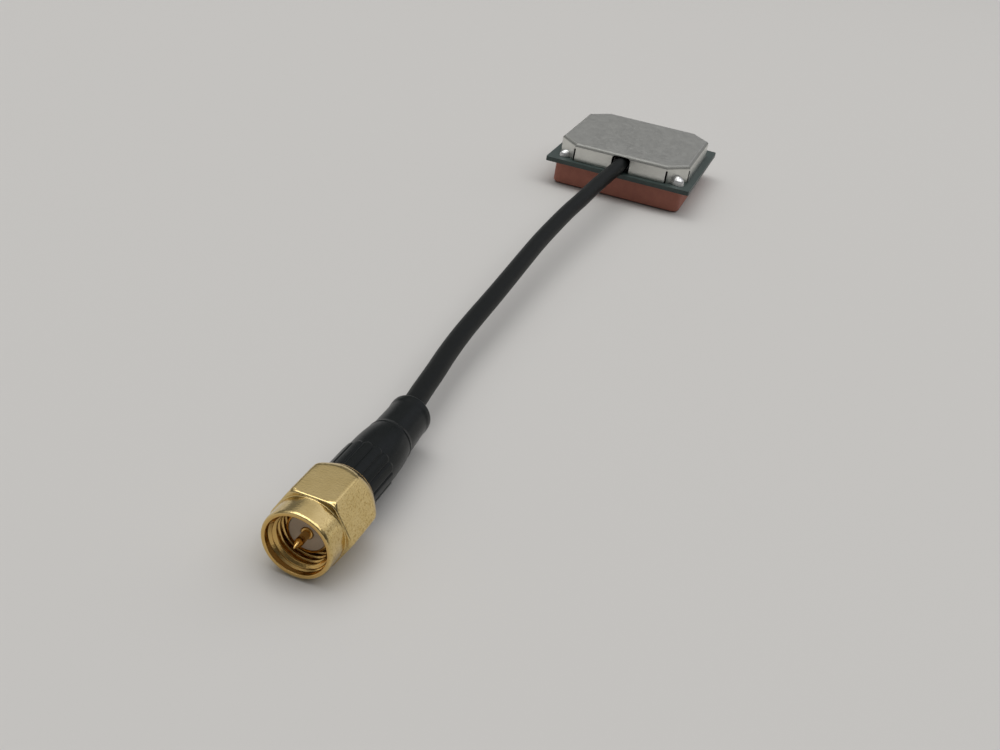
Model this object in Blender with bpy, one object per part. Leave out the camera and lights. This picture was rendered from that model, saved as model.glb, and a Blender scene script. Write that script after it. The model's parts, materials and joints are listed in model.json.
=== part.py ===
"""Active GPS patch antenna: a ceramic patch under an amplifier board with a folded shield can, on a
short coax lead that ends in a screw-on coaxial plug.

Metres, +Z up. The module lies with its radiating face down on z = 0, the lead leaves it towards -Y,
and the origin is on the floor under the middle of the board. The plug's own measures run along its
axis, from 0 at the mouth of the coupling nut to the rear.
"""

import math

import bmesh
import bpy
from mathutils import Matrix, Vector

# Clearances
FIT_GAP = 0.00003
RUNNING_GAP = 0.00010

# How far a cutter runs past the piece that it cuts
CUTTER_OVERRUN = 0.0004

# Board, which the ceramic, the can and their margins are set on
BOARD_SIDE = 0.0280
BOARD_THICKNESS = 0.0008
BOARD_CORNER_RADIUS = 0.0004

# Ceramic patch with its two fired silver films; each margin is to the edge of what carries the piece
CERAMIC_MARGIN = 0.0015
CERAMIC_THICKNESS = 0.0040
CERAMIC_CORNER_RADIUS = 0.0013
CERAMIC_EDGE_BREAK = 0.00015
FILM_THICKNESS = 0.00004
PATCH_MARGIN = 0.0027
PATCH_CORNER_CUT = 0.0016
GROUND_MARGIN = 0.0005
FILM_CORNER_RADIUS = 0.0006

# Feed pin through ceramic, tape and board
FEED_X = 0.0
FEED_Y = 0.0020
FEED_RADIUS = 0.00040
FEED_HEAD_RADIUS = 0.00085
FEED_HEAD_THICKNESS = 0.00008
FEED_CLEAR_RADIUS = 0.0015
FEED_TOP_PROUD = 0.0004
SOLDER_HEAD_RADIUS = 0.0012
SOLDER_HEAD_PROUD = 0.00003
SOLDER_CONE_RADIUS = 0.0009
SOLDER_CONE_HEIGHT = 0.0005

# Double-sided tape between ceramic and board
TAPE_MARGIN = 0.0010
TAPE_THICKNESS = 0.00008

# Shield can, folded from one sheet
CAN_MARGIN = 0.00135
CAN_CORNER_CUT = 0.0036
CAN_HEIGHT = 0.0032
CAN_SHEET = 0.0002
CAN_BEND_RADIUS = 0.00055
CAN_BEND_STEPS = 4
SLIT_WIDTH = 0.00035
SLIT_TOP_MARGIN = 0.0009
NOTCH_X = 0.0001
NOTCH_WIDTH = 0.0036
NOTCH_HEIGHT = 0.0029
NOTCH_CORNER_RADIUS = 0.0007
CAN_CUT_DEPTH = 0.0016

# Solder at the foot of each corner tab of the can, and how much of that size each bead has
TAB_SOLDER_LENGTH = 0.0026
TAB_SOLDER_REACH = 0.0019
TAB_SOLDER_HEIGHT = 0.0015
TAB_SOLDER_SHARES = {"front_left": 0.8, "front_right": 1.0, "back_left": 0.9, "back_right": 0.9}

# Parts on the board: length (X), width (Y), height, centre X, centre Y
BOARD_PARTS = {
    "input_amplifier": (0.0021, 0.0020, 0.0009, -0.0046, 0.0042),
    "saw_filter": (0.0030, 0.0030, 0.0012, -0.0060, -0.0018),
    "output_amplifier": (0.0021, 0.0020, 0.0009, 0.0056, -0.0012),
    "input_capacitor": (0.0010, 0.0005, 0.0005, -0.0020, 0.0047),
    "bias_inductor": (0.0016, 0.0008, 0.0008, 0.0056, 0.0034),
    "bias_resistor": (0.0010, 0.0005, 0.0004, 0.0034, 0.0052),
    "supply_capacitor": (0.0016, 0.0008, 0.0008, 0.0054, -0.0056),
    "output_capacitor": (0.0010, 0.0005, 0.0005, 0.0029, -0.0028),
}
PART_EDGE_BREAK = 0.00008

# Coax
CABLE_RADIUS = 0.0013
BRAID_RADIUS = 0.00105
BRAID_THICKNESS = 0.00025
INSULATION_RADIUS = 0.00072
CORE_RADIUS = 0.00024
JACKET_IN_CAN = 0.0020
BRAID_IN_CAN = 0.0026
INSULATION_IN_CAN = 0.0016
CORE_IN_CAN = 0.0012
BRAID_SOLDER_WIDTH = 0.0040
BRAID_SOLDER_LENGTH = 0.0018
CORE_SOLDER_RADIUS = 0.0007
CABLE_EXIT_X = 0.0001

# Route of the lead's middle line from the can to the boot, as (X, Y, height above the floor)
CABLE_ROUTE = [
    (-0.00008, -0.0166, 0.00652),
    (-0.00040, -0.0212, 0.00647),
    (-0.00072, -0.0270, 0.00638),
    (-0.00094, -0.0335, 0.00624),
    (-0.00134, -0.0405, 0.00604),
    (-0.00155, -0.0475, 0.00580),
    (-0.00165, -0.0545, 0.00553),
    (-0.00156, -0.0615, 0.00524),
    (-0.00142, -0.0685, 0.00495),
    (-0.00130, -0.0755, 0.00467),
    (-0.00124, -0.0820, 0.00443),
    (-0.00108, -0.0880, 0.00424),
    (-0.00074, -0.0933, 0.00411),
    (-0.00030, -0.0978, 0.00404),
    (0.00034, -0.1018, 0.00401),
    (0.00102, -0.1050, 0.00400),
]
CABLE_STEP = 0.0058

# Plug: place of its mouth, then the coupling nut
PLUG_X = 0.0014
MOUTH_Y = -0.1342
NUT_ACROSS_FLATS = 0.0080
NUT_LENGTH = 0.00955
COLLAR_LENGTH = 0.0027
COLLAR_RADIUS = 0.00380
COLLAR_EDGE_DEPTH = 0.00015
COLLAR_EDGE_LENGTH = 0.0004
NUT_EDGE_BREAK = 0.00008
NUT_FRONT_RADIUS = 0.00428
NUT_FRONT_ANGLE = math.radians(37.0)
NUT_REAR_RADIUS = 0.00352
NUT_REAR_ANGLE = math.radians(31.4)
MOUTH_RADIUS = 0.00324
THREAD_MEAN_RADIUS = 0.00292
LEAD_IN_LENGTH = 0.00030
THREAD_LENGTH = 0.0042
THREAD_RELIEF_RADIUS = 0.00325
THREAD_RELIEF_LENGTH = 0.0005
RING_GROOVE_DEPTH = 0.00045
RING_WIDTH = 0.00045
RING_START = 0.0068
RING_OPENING = 0.0012

# Plug body, insulator, pin and gasket
REFERENCE_PLANE = 0.0022
INSULATOR_RADIUS = 0.00203
SLEEVE_WALL = 0.00021
FLANGE_START = 0.00465
FLANGE_RADIUS = 0.00270
BODY_GROOVE_RADIUS = 0.00238
BODY_REAR = 0.0098
BODY_REAR_WALL = 0.00065
STEM_WALL = 0.00018
STEM_LENGTH = 0.0044
PIN_RADIUS = 0.000455
PIN_TIP = -0.0003
PIN_TIP_RADIUS = 0.00010
PIN_TAPER = 0.0009
PIN_SHOULDER_RADIUS = 0.00066
PIN_SHOULDER_PROUD = 0.00012
PIN_WELL_DEPTH = 0.00018
INSULATOR_EDGE = 0.00010
CORE_IN_PIN = 0.0014
GASKET_LENGTH = 0.00050
GASKET_RADIUS = 0.00275

# Crimp ferrule
FERRULE_WALL = 0.00055
FERRULE_REAR = 0.0159
CRIMP_START = 0.0107
CRIMP_END = 0.0137
CRIMP_ACROSS_FLATS = 0.0036

# Moulded boot
BOOT_NUT_GAP = 0.00015
BOOT_FRONT_RADIUS = 0.00296
BOOT_BARREL_RADIUS = 0.00298
BOOT_BARREL_END = 0.0151
BOOT_SHOULDER_STEPS = 6
BOOT_RING = 0.0209
BOOT_RING_RADIUS = 0.00266
BOOT_RING_PROUD = 0.00005
BOOT_RING_HALF_WIDTH = 0.00012
BOOT_NECK_FRONT_RADIUS = 0.00259
BOOT_NECK_RADIUS = 0.00245
BOOT_RIM_RADIUS = 0.00252
BOOT_RIM_LENGTH = 0.0009
BOOT_RIM_RAMP = 0.0007
BOOT_END = 0.0265
BOOT_END_ROUND = 0.00045
RIB_COUNT = 16
RIB_HEIGHT = 0.00014
RIB_GROOVE_ANGLE = math.radians(3.8)
RIB_FRONT_MARGIN = 0.00025
RIB_REAR_MARGIN = 0.0001
RIB_RAMP = 0.0003
COLUMNS_PER_RIB = 4

# Facets of round forms, and steps between two points of a curve
ROUND_STEPS = 36
SMALL_STEPS = 24
CORNER_STEPS = 4
BEAD_SEGMENTS = 16
BEAD_RINGS = 10
CURVE_STEPS = 20
SHARP_ANGLE = math.radians(35.0)
MERGE_DISTANCE = 1e-7

# Heights of the stack, from the feed's solder on the floor up to the can
PATCH_BOTTOM = SOLDER_HEAD_PROUD + FEED_HEAD_THICKNESS + FIT_GAP
CERAMIC_BOTTOM = PATCH_BOTTOM + FILM_THICKNESS + FIT_GAP
CERAMIC_TOP = CERAMIC_BOTTOM + CERAMIC_THICKNESS
GROUND_BOTTOM = CERAMIC_TOP + FIT_GAP
TAPE_BOTTOM = GROUND_BOTTOM + FILM_THICKNESS + FIT_GAP
BOARD_BOTTOM = TAPE_BOTTOM + TAPE_THICKNESS + FIT_GAP
BOARD_TOP = BOARD_BOTTOM + BOARD_THICKNESS
SEAT_HEIGHT = BOARD_TOP + FIT_GAP
CAN_TOP = SEAT_HEIGHT + CAN_HEIGHT

# Lines that several pieces share
CERAMIC_SIDE = BOARD_SIDE - 2 * CERAMIC_MARGIN
PATCH_SIDE = CERAMIC_SIDE - 2 * PATCH_MARGIN
GROUND_SIDE = CERAMIC_SIDE - 2 * GROUND_MARGIN
TAPE_SIDE = GROUND_SIDE - 2 * TAPE_MARGIN
CAN_SIDE = BOARD_SIDE - 2 * CAN_MARGIN
CAN_FRONT_Y = -CAN_SIDE / 2
CABLE_HEIGHT = SEAT_HEIGHT + CABLE_RADIUS
JACKET_END_Y = CAN_FRONT_Y + JACKET_IN_CAN
AXIS_HEIGHT = NUT_ACROSS_FLATS / 2
SLEEVE_INNER_RADIUS = INSULATOR_RADIUS + FIT_GAP
SLEEVE_RADIUS = SLEEVE_INNER_RADIUS + SLEEVE_WALL
INSULATOR_REAR = BODY_REAR - BODY_REAR_WALL - FIT_GAP
NUT_BORE_RADIUS = FLANGE_RADIUS + RUNNING_GAP
RING_GROOVE_RADIUS = NUT_BORE_RADIUS + RING_GROOVE_DEPTH
STEM_INNER_RADIUS = INSULATION_RADIUS + FIT_GAP
STEM_RADIUS = STEM_INNER_RADIUS + STEM_WALL
STEM_END = BODY_REAR + STEM_LENGTH
PLUG_BRAID_RADIUS = STEM_RADIUS + FIT_GAP + BRAID_THICKNESS
PLUG_BRAID_END = STEM_END + FIT_GAP
FERRULE_INNER_RADIUS = max(PLUG_BRAID_RADIUS, CABLE_RADIUS) + FIT_GAP
FERRULE_RADIUS = FERRULE_INNER_RADIUS + FERRULE_WALL
FERRULE_FRONT = BODY_REAR + FIT_GAP
BOOT_FRONT = NUT_LENGTH + BOOT_NUT_GAP
RIB_START = BOOT_FRONT + RIB_FRONT_MARGIN
RIB_END = BOOT_BARREL_END - RIB_REAR_MARGIN
JACKET_IN_PLUG = PLUG_BRAID_END + FIT_GAP


def material(name, colour, roughness, metallic=0.0):
    """A Principled material in one colour."""
    made = bpy.data.materials.new(name)
    made.use_nodes = True
    shader = made.node_tree.nodes["Principled BSDF"]
    shader.inputs["Base Color"].default_value = (*colour, 1.0)
    shader.inputs["Roughness"].default_value = roughness
    shader.inputs["Metallic"].default_value = metallic
    return made


def empty(name, location):
    """A frame that pieces are parented to."""
    frame = bpy.data.objects.new(name, None)
    frame.empty_display_size = 0.004
    frame.location = location
    bpy.context.collection.objects.link(frame)
    return frame


def finish_object(name, bm, finish, location=(0.0, 0.0, 0.0), parent=None):
    """Turns a bmesh into a linked object with outward faces and smooth round sides."""
    bmesh.ops.recalc_face_normals(bm, faces=bm.faces)
    mesh = bpy.data.meshes.new(name)
    bm.to_mesh(mesh)
    bm.free()
    mesh.shade_smooth()
    mesh.set_sharp_from_angle(angle=SHARP_ANGLE)
    if finish:
        mesh.materials.append(finish)
    obj = bpy.data.objects.new(name, mesh)
    obj.location = location
    obj.parent = parent
    bpy.context.collection.objects.link(obj)
    return obj


def boolean(obj, other, operation):
    """Joins, cuts or intersects obj with another mesh, which then stays out of the model."""
    modifier = obj.modifiers.new(f"{operation.lower()}_{other.name}", "BOOLEAN")
    modifier.operation = operation
    modifier.solver = "EXACT"
    modifier.object = other
    other.hide_render = True
    other.display_type = "WIRE"
    return obj


def arc(centre, radius, start, end, steps):
    """Points of an arc as (radius, along) pairs, between two angles in degrees."""
    angles = [math.radians(start + (end - start) * i / steps) for i in range(steps + 1)]
    return [(centre[0] + radius * math.cos(a), centre[1] + radius * math.sin(a)) for a in angles]


def spun(profile, steps, angle=math.tau):
    """A bmesh turned about Y from a closed loop of (radius, along) points, all round or part way."""
    bm = bmesh.new()
    ring = [bm.verts.new((radius, along, 0.0)) for radius, along in profile]
    for first, second in zip(ring, ring[1:] + ring[:1]):
        if max(first.co.x, second.co.x) > MERGE_DISTANCE:
            bm.edges.new((first, second))
    bmesh.ops.spin(
        bm, geom=ring + bm.edges[:], cent=(0.0, 0.0, 0.0), axis=(0.0, 1.0, 0.0),
        dvec=(0.0, 0.0, 0.0), angle=angle, steps=steps, use_merge=angle == math.tau,
    )
    bmesh.ops.remove_doubles(bm, verts=bm.verts, dist=MERGE_DISTANCE)
    if angle < math.tau:
        bmesh.ops.holes_fill(bm, edges=[e for e in bm.edges if e.is_boundary])
    return bm


def turned(name, profile, finish, parent=None, steps=ROUND_STEPS):
    return finish_object(name, spun(profile, steps), finish, parent=parent)


def tube_profile(inner, outer, start, end):
    """The loop of a plain tube, or of a rod where the inner radius is 0."""
    return [(inner, start), (outer, start), (outer, end), (inner, end)]


def rounded_square(side, radius, steps=CORNER_STEPS):
    """Corner points of a square with round corners, anticlockwise."""
    reach = side / 2 - radius
    points = []
    for corner, (sign_x, sign_y) in enumerate(((1, 1), (-1, 1), (-1, -1), (1, -1))):
        points += arc((sign_x * reach, sign_y * reach), radius, 90 * corner, 90 * corner + 90, steps)
    return points


def octagon(side, cut):
    """A square with its four corners cut off at 45 degrees, anticlockwise."""
    half = side / 2
    near = half - cut
    return [
        (half, -near), (half, near), (near, half), (-near, half),
        (-half, near), (-half, -near), (-near, -half), (near, -half),
    ]


def extruded(outline, bottom, top):
    """A bmesh prism on a flat outline, from one height to another."""
    bm = bmesh.new()
    face = bm.faces.new([bm.verts.new((x, y, bottom)) for x, y in outline])
    grown = bmesh.ops.extrude_face_region(bm, geom=[face])
    raised = [item for item in grown["geom"] if isinstance(item, bmesh.types.BMVert)]
    bmesh.ops.translate(bm, verts=raised, vec=(0.0, 0.0, top - bottom))
    return bm


def bevel_edges(bm, edges, width, steps=1):
    bmesh.ops.bevel(
        bm, geom=edges, offset=width, offset_type="OFFSET", segments=steps, profile=0.5,
        affect="EDGES", clamp_overlap=True,
    )


def level_edges(bm, height):
    """The edges that lie at one height."""
    return [e for e in bm.edges if all(abs(v.co.z - height) < MERGE_DISTANCE for v in e.verts)]


def drill(name, radius, x, y, bottom, top, steps=SMALL_STEPS):
    """An upright round cutter."""
    bm = spun(tube_profile(0.0, radius, bottom, top), steps)
    bmesh.ops.rotate(bm, verts=bm.verts, matrix=Matrix.Rotation(math.radians(90.0), 3, "X"))
    return finish_object(name, bm, None, location=(x, y, 0.0))


def feed_drill(name, radius, bottom, top):
    return drill(name, radius, FEED_X, FEED_Y, bottom - FIT_GAP, top + FIT_GAP)


def make_ceramic(finish):
    outline = rounded_square(CERAMIC_SIDE, CERAMIC_CORNER_RADIUS)
    bm = extruded(outline, CERAMIC_BOTTOM, CERAMIC_TOP)
    rims = level_edges(bm, CERAMIC_BOTTOM) + level_edges(bm, CERAMIC_TOP)
    bevel_edges(bm, rims, CERAMIC_EDGE_BREAK)
    block = finish_object("ceramic_block", bm, finish)
    hole = feed_drill("ceramic_hole", FEED_RADIUS + FIT_GAP, CERAMIC_BOTTOM, CERAMIC_TOP)
    boolean(block, hole, "DIFFERENCE")


def make_patch_electrode(finish):
    """The radiating film: a square with two opposite corners cut, which makes it turn the wave."""
    half = PATCH_SIDE / 2
    near = half - PATCH_CORNER_CUT
    outline = [(half, -half), (half, near), (near, half), (-half, half), (-half, -near), (-near, -half)]
    bm = extruded(outline, PATCH_BOTTOM, PATCH_BOTTOM + FILM_THICKNESS)
    film = finish_object("patch_electrode", bm, finish)
    hole = feed_drill(
        "patch_hole", FEED_RADIUS + FIT_GAP, PATCH_BOTTOM, PATCH_BOTTOM + FILM_THICKNESS
    )
    boolean(film, hole, "DIFFERENCE")


def make_cleared_sheet(name, side, corner, bottom, thickness, finish):
    """A thin square sheet with the wide hole that keeps it off the feed pin."""
    sheet = finish_object(name, extruded(rounded_square(side, corner), bottom, bottom + thickness), finish)
    hole = feed_drill(f"{name}_hole", FEED_CLEAR_RADIUS, bottom, bottom + thickness)
    boolean(sheet, hole, "DIFFERENCE")


def make_board(finish):
    outline = rounded_square(BOARD_SIDE, BOARD_CORNER_RADIUS)
    board = finish_object("amplifier_board", extruded(outline, BOARD_BOTTOM, BOARD_TOP), finish)
    hole = feed_drill("board_hole", FEED_RADIUS + FIT_GAP, BOARD_BOTTOM, BOARD_TOP)
    boolean(board, hole, "DIFFERENCE")


def make_upright(name, profile, finish, steps=SMALL_STEPS):
    """A piece turned about the feed's upright axis, from (radius, height) points."""
    bm = spun(profile, steps)
    bmesh.ops.rotate(bm, verts=bm.verts, matrix=Matrix.Rotation(math.radians(90.0), 3, "X"))
    return finish_object(name, bm, finish, location=(FEED_X, FEED_Y, 0.0))


def make_feed(pin_finish, solder_finish):
    """The feed pin hangs on its flat head under the patch film; solder covers both of its ends."""
    head_top = PATCH_BOTTOM - FIT_GAP
    head_bottom = head_top - FEED_HEAD_THICKNESS
    pin_top = BOARD_TOP + FEED_TOP_PROUD
    make_upright(
        "feed_pin",
        [(0.0, head_bottom), (FEED_HEAD_RADIUS, head_bottom), (FEED_HEAD_RADIUS, head_top),
         (FEED_RADIUS, head_top), (FEED_RADIUS, pin_top), (0.0, pin_top)],
        pin_finish,
    )
    make_upright(
        "patch_side_solder",
        [(FEED_HEAD_RADIUS + FIT_GAP, 0.0), (SOLDER_HEAD_RADIUS, head_top / 2),
         (SOLDER_HEAD_RADIUS, head_top), (FEED_HEAD_RADIUS + FIT_GAP, head_top)],
        solder_finish,
    )
    inner = FEED_RADIUS + FIT_GAP
    cone_top = SEAT_HEIGHT + min(SOLDER_CONE_HEIGHT, FEED_TOP_PROUD - FIT_GAP)
    make_upright(
        "board_side_solder",
        [(inner, SEAT_HEIGHT), (SOLDER_CONE_RADIUS, SEAT_HEIGHT),
         ((inner + SOLDER_CONE_RADIUS) / 2, (SEAT_HEIGHT + cone_top) / 2),
         (inner + FIT_GAP, cone_top), (inner, cone_top)],
        solder_finish,
    )


def can_shell_bmesh(inset, bottom):
    """The can's outer or inner form: an octagonal prism with its top edges bent round."""
    shrink_cut = CAN_CORNER_CUT - inset * (2 - math.sqrt(2))
    top = CAN_TOP - inset
    bm = extruded(octagon(CAN_SIDE - 2 * inset, shrink_cut), bottom, top)
    bevel_edges(bm, level_edges(bm, top), CAN_BEND_RADIUS - inset, CAN_BEND_STEPS)
    return bm


def make_can(finish):
    """One sheet folded down on eight sides: slits part the walls from the soldered corner tabs."""
    can = finish_object("shield_can", can_shell_bmesh(0.0, SEAT_HEIGHT), finish)
    hollow = finish_object("can_hollow", can_shell_bmesh(CAN_SHEET, SEAT_HEIGHT - CUTTER_OVERRUN), None)
    boolean(can, hollow, "DIFFERENCE")
    foot = SEAT_HEIGHT - CUTTER_OVERRUN
    slit_height = CAN_TOP - SLIT_TOP_MARGIN - foot
    slits = bmesh.new()
    for x, y in octagon(CAN_SIDE, CAN_CORNER_CUT):
        turn = Matrix.Rotation(math.atan2(y, x), 4, "Z")
        place = Matrix.Translation((x, y, foot + slit_height / 2))
        size = Matrix.Diagonal((CAN_CUT_DEPTH, SLIT_WIDTH, slit_height, 1.0))
        bmesh.ops.create_cube(slits, size=1.0, matrix=place @ turn @ size)
    boolean(can, finish_object("can_slits", slits, None), "DIFFERENCE")
    notch = bmesh.new()
    notch_top = SEAT_HEIGHT + NOTCH_HEIGHT
    place = Matrix.Translation((NOTCH_X, CAN_FRONT_Y, (notch_top + foot) / 2))
    size = Matrix.Diagonal((NOTCH_WIDTH, CAN_CUT_DEPTH, notch_top - foot, 1.0))
    bmesh.ops.create_cube(notch, size=1.0, matrix=place @ size)
    corners = [
        e for e in level_edges(notch, notch_top)
        if abs(e.verts[0].co.y - e.verts[1].co.y) > MERGE_DISTANCE
    ]
    bevel_edges(notch, corners, NOTCH_CORNER_RADIUS, CORNER_STEPS)
    boolean(can, finish_object("can_notch", notch, None), "DIFFERENCE")


def make_tab_solder(corner, sign_x, sign_y, finish):
    """A solder bead against the outer foot of one corner tab, flat on the board."""
    bm = bmesh.new()
    bmesh.ops.create_uvsphere(bm, u_segments=BEAD_SEGMENTS, v_segments=BEAD_RINGS, radius=1.0)
    size = Vector((TAB_SOLDER_REACH, TAB_SOLDER_LENGTH / 2, TAB_SOLDER_HEIGHT))
    bmesh.ops.scale(bm, verts=bm.verts, vec=size * TAB_SOLDER_SHARES[corner])
    for normal in ((1.0, 0.0, 0.0), (0.0, 0.0, 1.0)):
        cut = bmesh.ops.bisect_plane(
            bm, geom=bm.verts[:] + bm.edges[:] + bm.faces[:], dist=MERGE_DISTANCE,
            plane_co=(0.0, 0.0, 0.0), plane_no=normal, clear_inner=True,
        )
        rim = [item for item in cut["geom_cut"] if isinstance(item, bmesh.types.BMEdge)]
        bmesh.ops.contextual_create(bm, geom=rim)
    obj = finish_object(f"tab_solder_{corner}", bm, finish)
    # The middle of a corner tab lies this far out along each of X and Y.
    tab = CAN_SIDE / 2 - CAN_CORNER_CUT / 2 + FIT_GAP / math.sqrt(2)
    obj.location = (sign_x * tab, sign_y * tab, SEAT_HEIGHT)
    obj.rotation_euler = (0.0, 0.0, math.atan2(sign_y, sign_x))
    return obj


def make_board_part(name, finish):
    length, width, height, x, y = BOARD_PARTS[name]
    bm = bmesh.new()
    bmesh.ops.create_cube(bm, size=1.0, matrix=Matrix.Diagonal((length, width, height, 1.0)))
    bevel_edges(bm, bm.edges[:], PART_EDGE_BREAK)
    finish_object(name, bm, finish, location=(x, y, SEAT_HEIGHT + height / 2))


def make_can_cable_end(braid_finish, insulation_finish, core_finish, solder_finish):
    """The stripped end of the lead on the board: braid, insulation and core, with their solder."""
    end = empty("can_cable_end", (CABLE_EXIT_X, JACKET_END_Y, CABLE_HEIGHT))
    braid_start = FIT_GAP
    braid_end = braid_start + BRAID_IN_CAN
    insulation_end = braid_end + INSULATION_IN_CAN
    core_end = insulation_end + CORE_IN_CAN
    sleeve = INSULATION_RADIUS + FIT_GAP
    turned("cable_braid_end", tube_profile(sleeve, BRAID_RADIUS, braid_start, braid_end),
           braid_finish, end, SMALL_STEPS)
    turned("cable_insulation_end",
           tube_profile(CORE_RADIUS + FIT_GAP, INSULATION_RADIUS, braid_start, insulation_end),
           insulation_finish, end, SMALL_STEPS)
    turned("cable_core_end", tube_profile(0.0, CORE_RADIUS, braid_start, core_end),
           core_finish, end, SMALL_STEPS)
    drop = CABLE_HEIGHT - SEAT_HEIGHT
    saddle = bmesh.new()
    height = drop + BRAID_RADIUS / 2
    middle = (braid_start + braid_end) / 2
    place = Matrix.Translation((0.0, middle, height / 2 - drop))
    size = Matrix.Diagonal((BRAID_SOLDER_WIDTH, BRAID_SOLDER_LENGTH, height, 1.0))
    bmesh.ops.create_cube(saddle, size=1.0, matrix=place @ size)
    bevel_edges(saddle, level_edges(saddle, height - drop), BRAID_RADIUS / 2, 3)
    braid_solder = finish_object("braid_solder", saddle, solder_finish, parent=end)
    trough_profile = tube_profile(0.0, BRAID_RADIUS + FIT_GAP, 0.0, braid_end + BRAID_IN_CAN)
    trough = turned("braid_trough", trough_profile, None, end, SMALL_STEPS)
    boolean(braid_solder, trough, "DIFFERENCE")
    bead = bmesh.new()
    bmesh.ops.create_uvsphere(
        bead, u_segments=BEAD_SEGMENTS, v_segments=BEAD_RINGS, radius=CORE_SOLDER_RADIUS
    )
    bead_reach = drop + CORE_RADIUS
    bmesh.ops.scale(bead, verts=bead.verts, vec=(1.0, 1.0, bead_reach / CORE_SOLDER_RADIUS))
    bead_y = insulation_end + CORE_IN_CAN / 2 + FIT_GAP
    bmesh.ops.translate(bead, verts=bead.verts, vec=(0.0, bead_y, -drop))
    cut = bmesh.ops.bisect_plane(
        bead, geom=bead.verts[:] + bead.edges[:] + bead.faces[:], dist=MERGE_DISTANCE,
        plane_co=(0.0, 0.0, -drop), plane_no=(0.0, 0.0, 1.0), clear_inner=True,
    )
    rim = [item for item in cut["geom_cut"] if isinstance(item, bmesh.types.BMEdge)]
    bmesh.ops.contextual_create(bead, geom=rim)
    core_solder = finish_object("core_solder", bead, solder_finish, parent=end)
    slot_profile = tube_profile(0.0, CORE_RADIUS + FIT_GAP, 0.0, core_end + FIT_GAP)
    slot = turned("core_slot", slot_profile, None, end, SMALL_STEPS)
    boolean(core_solder, slot, "DIFFERENCE")
    clearance = turned(
        "insulation_slot", tube_profile(0.0, INSULATION_RADIUS + FIT_GAP, 0.0, insulation_end + FIT_GAP),
        None, end, SMALL_STEPS,
    )
    boolean(core_solder, clearance, "DIFFERENCE")


def smooth_curve(points, step):
    """Points about one step apart on a Catmull-Rom curve through the given ones."""
    padded = [2 * points[0] - points[1], *points, 2 * points[-1] - points[-2]]
    fine = []
    for before, start, end, after in zip(padded, padded[1:], padded[2:], padded[3:]):
        for i in range(CURVE_STEPS):
            t = i / CURVE_STEPS
            fine.append(0.5 * (
                2 * start + (end - before) * t + (2 * before - 5 * start + 4 * end - after) * t ** 2
                + (3 * start - before - 3 * end + after) * t ** 3
            ))
    fine.append(points[-1])
    lengths = [0.0]
    for first, second in zip(fine, fine[1:]):
        lengths.append(lengths[-1] + (second - first).length)
    count = max(2, round(lengths[-1] / step))
    chosen = []
    for i in range(count + 1):
        wanted = lengths[-1] * i / count
        k = min(range(len(lengths)), key=lambda j: abs(lengths[j] - wanted))
        chosen.append(fine[k])
    return chosen


def make_cable(finish):
    """The jacket, from its cut end inside the can to its cut end inside the ferrule."""
    boot_rear_y = MOUTH_Y + BOOT_END
    jacket_end_y = MOUTH_Y + JACKET_IN_PLUG
    route = [
        Vector((CABLE_EXIT_X, JACKET_END_Y, CABLE_HEIGHT)),
        Vector((CABLE_EXIT_X, CAN_FRONT_Y, CABLE_HEIGHT)),
        *[Vector(point) for point in CABLE_ROUTE],
        Vector((PLUG_X, boot_rear_y, AXIS_HEIGHT)),
        Vector((PLUG_X, (boot_rear_y + jacket_end_y) / 2, AXIS_HEIGHT)),
        Vector((PLUG_X, jacket_end_y, AXIS_HEIGHT)),
    ]
    points = smooth_curve(route, CABLE_STEP)
    data = bpy.data.curves.new("coax_cable", "CURVE")
    data.dimensions = "3D"
    data.bevel_depth = CABLE_RADIUS
    data.bevel_resolution = 2
    data.use_fill_caps = True
    spline = data.splines.new("POLY")
    spline.points.add(len(points) - 1)
    for spot, point in zip(spline.points, points):
        spot.co = (*point, 1.0)
    data.materials.append(finish)
    cable = bpy.data.objects.new("coax_cable", data)
    bpy.context.collection.objects.link(cable)


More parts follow.
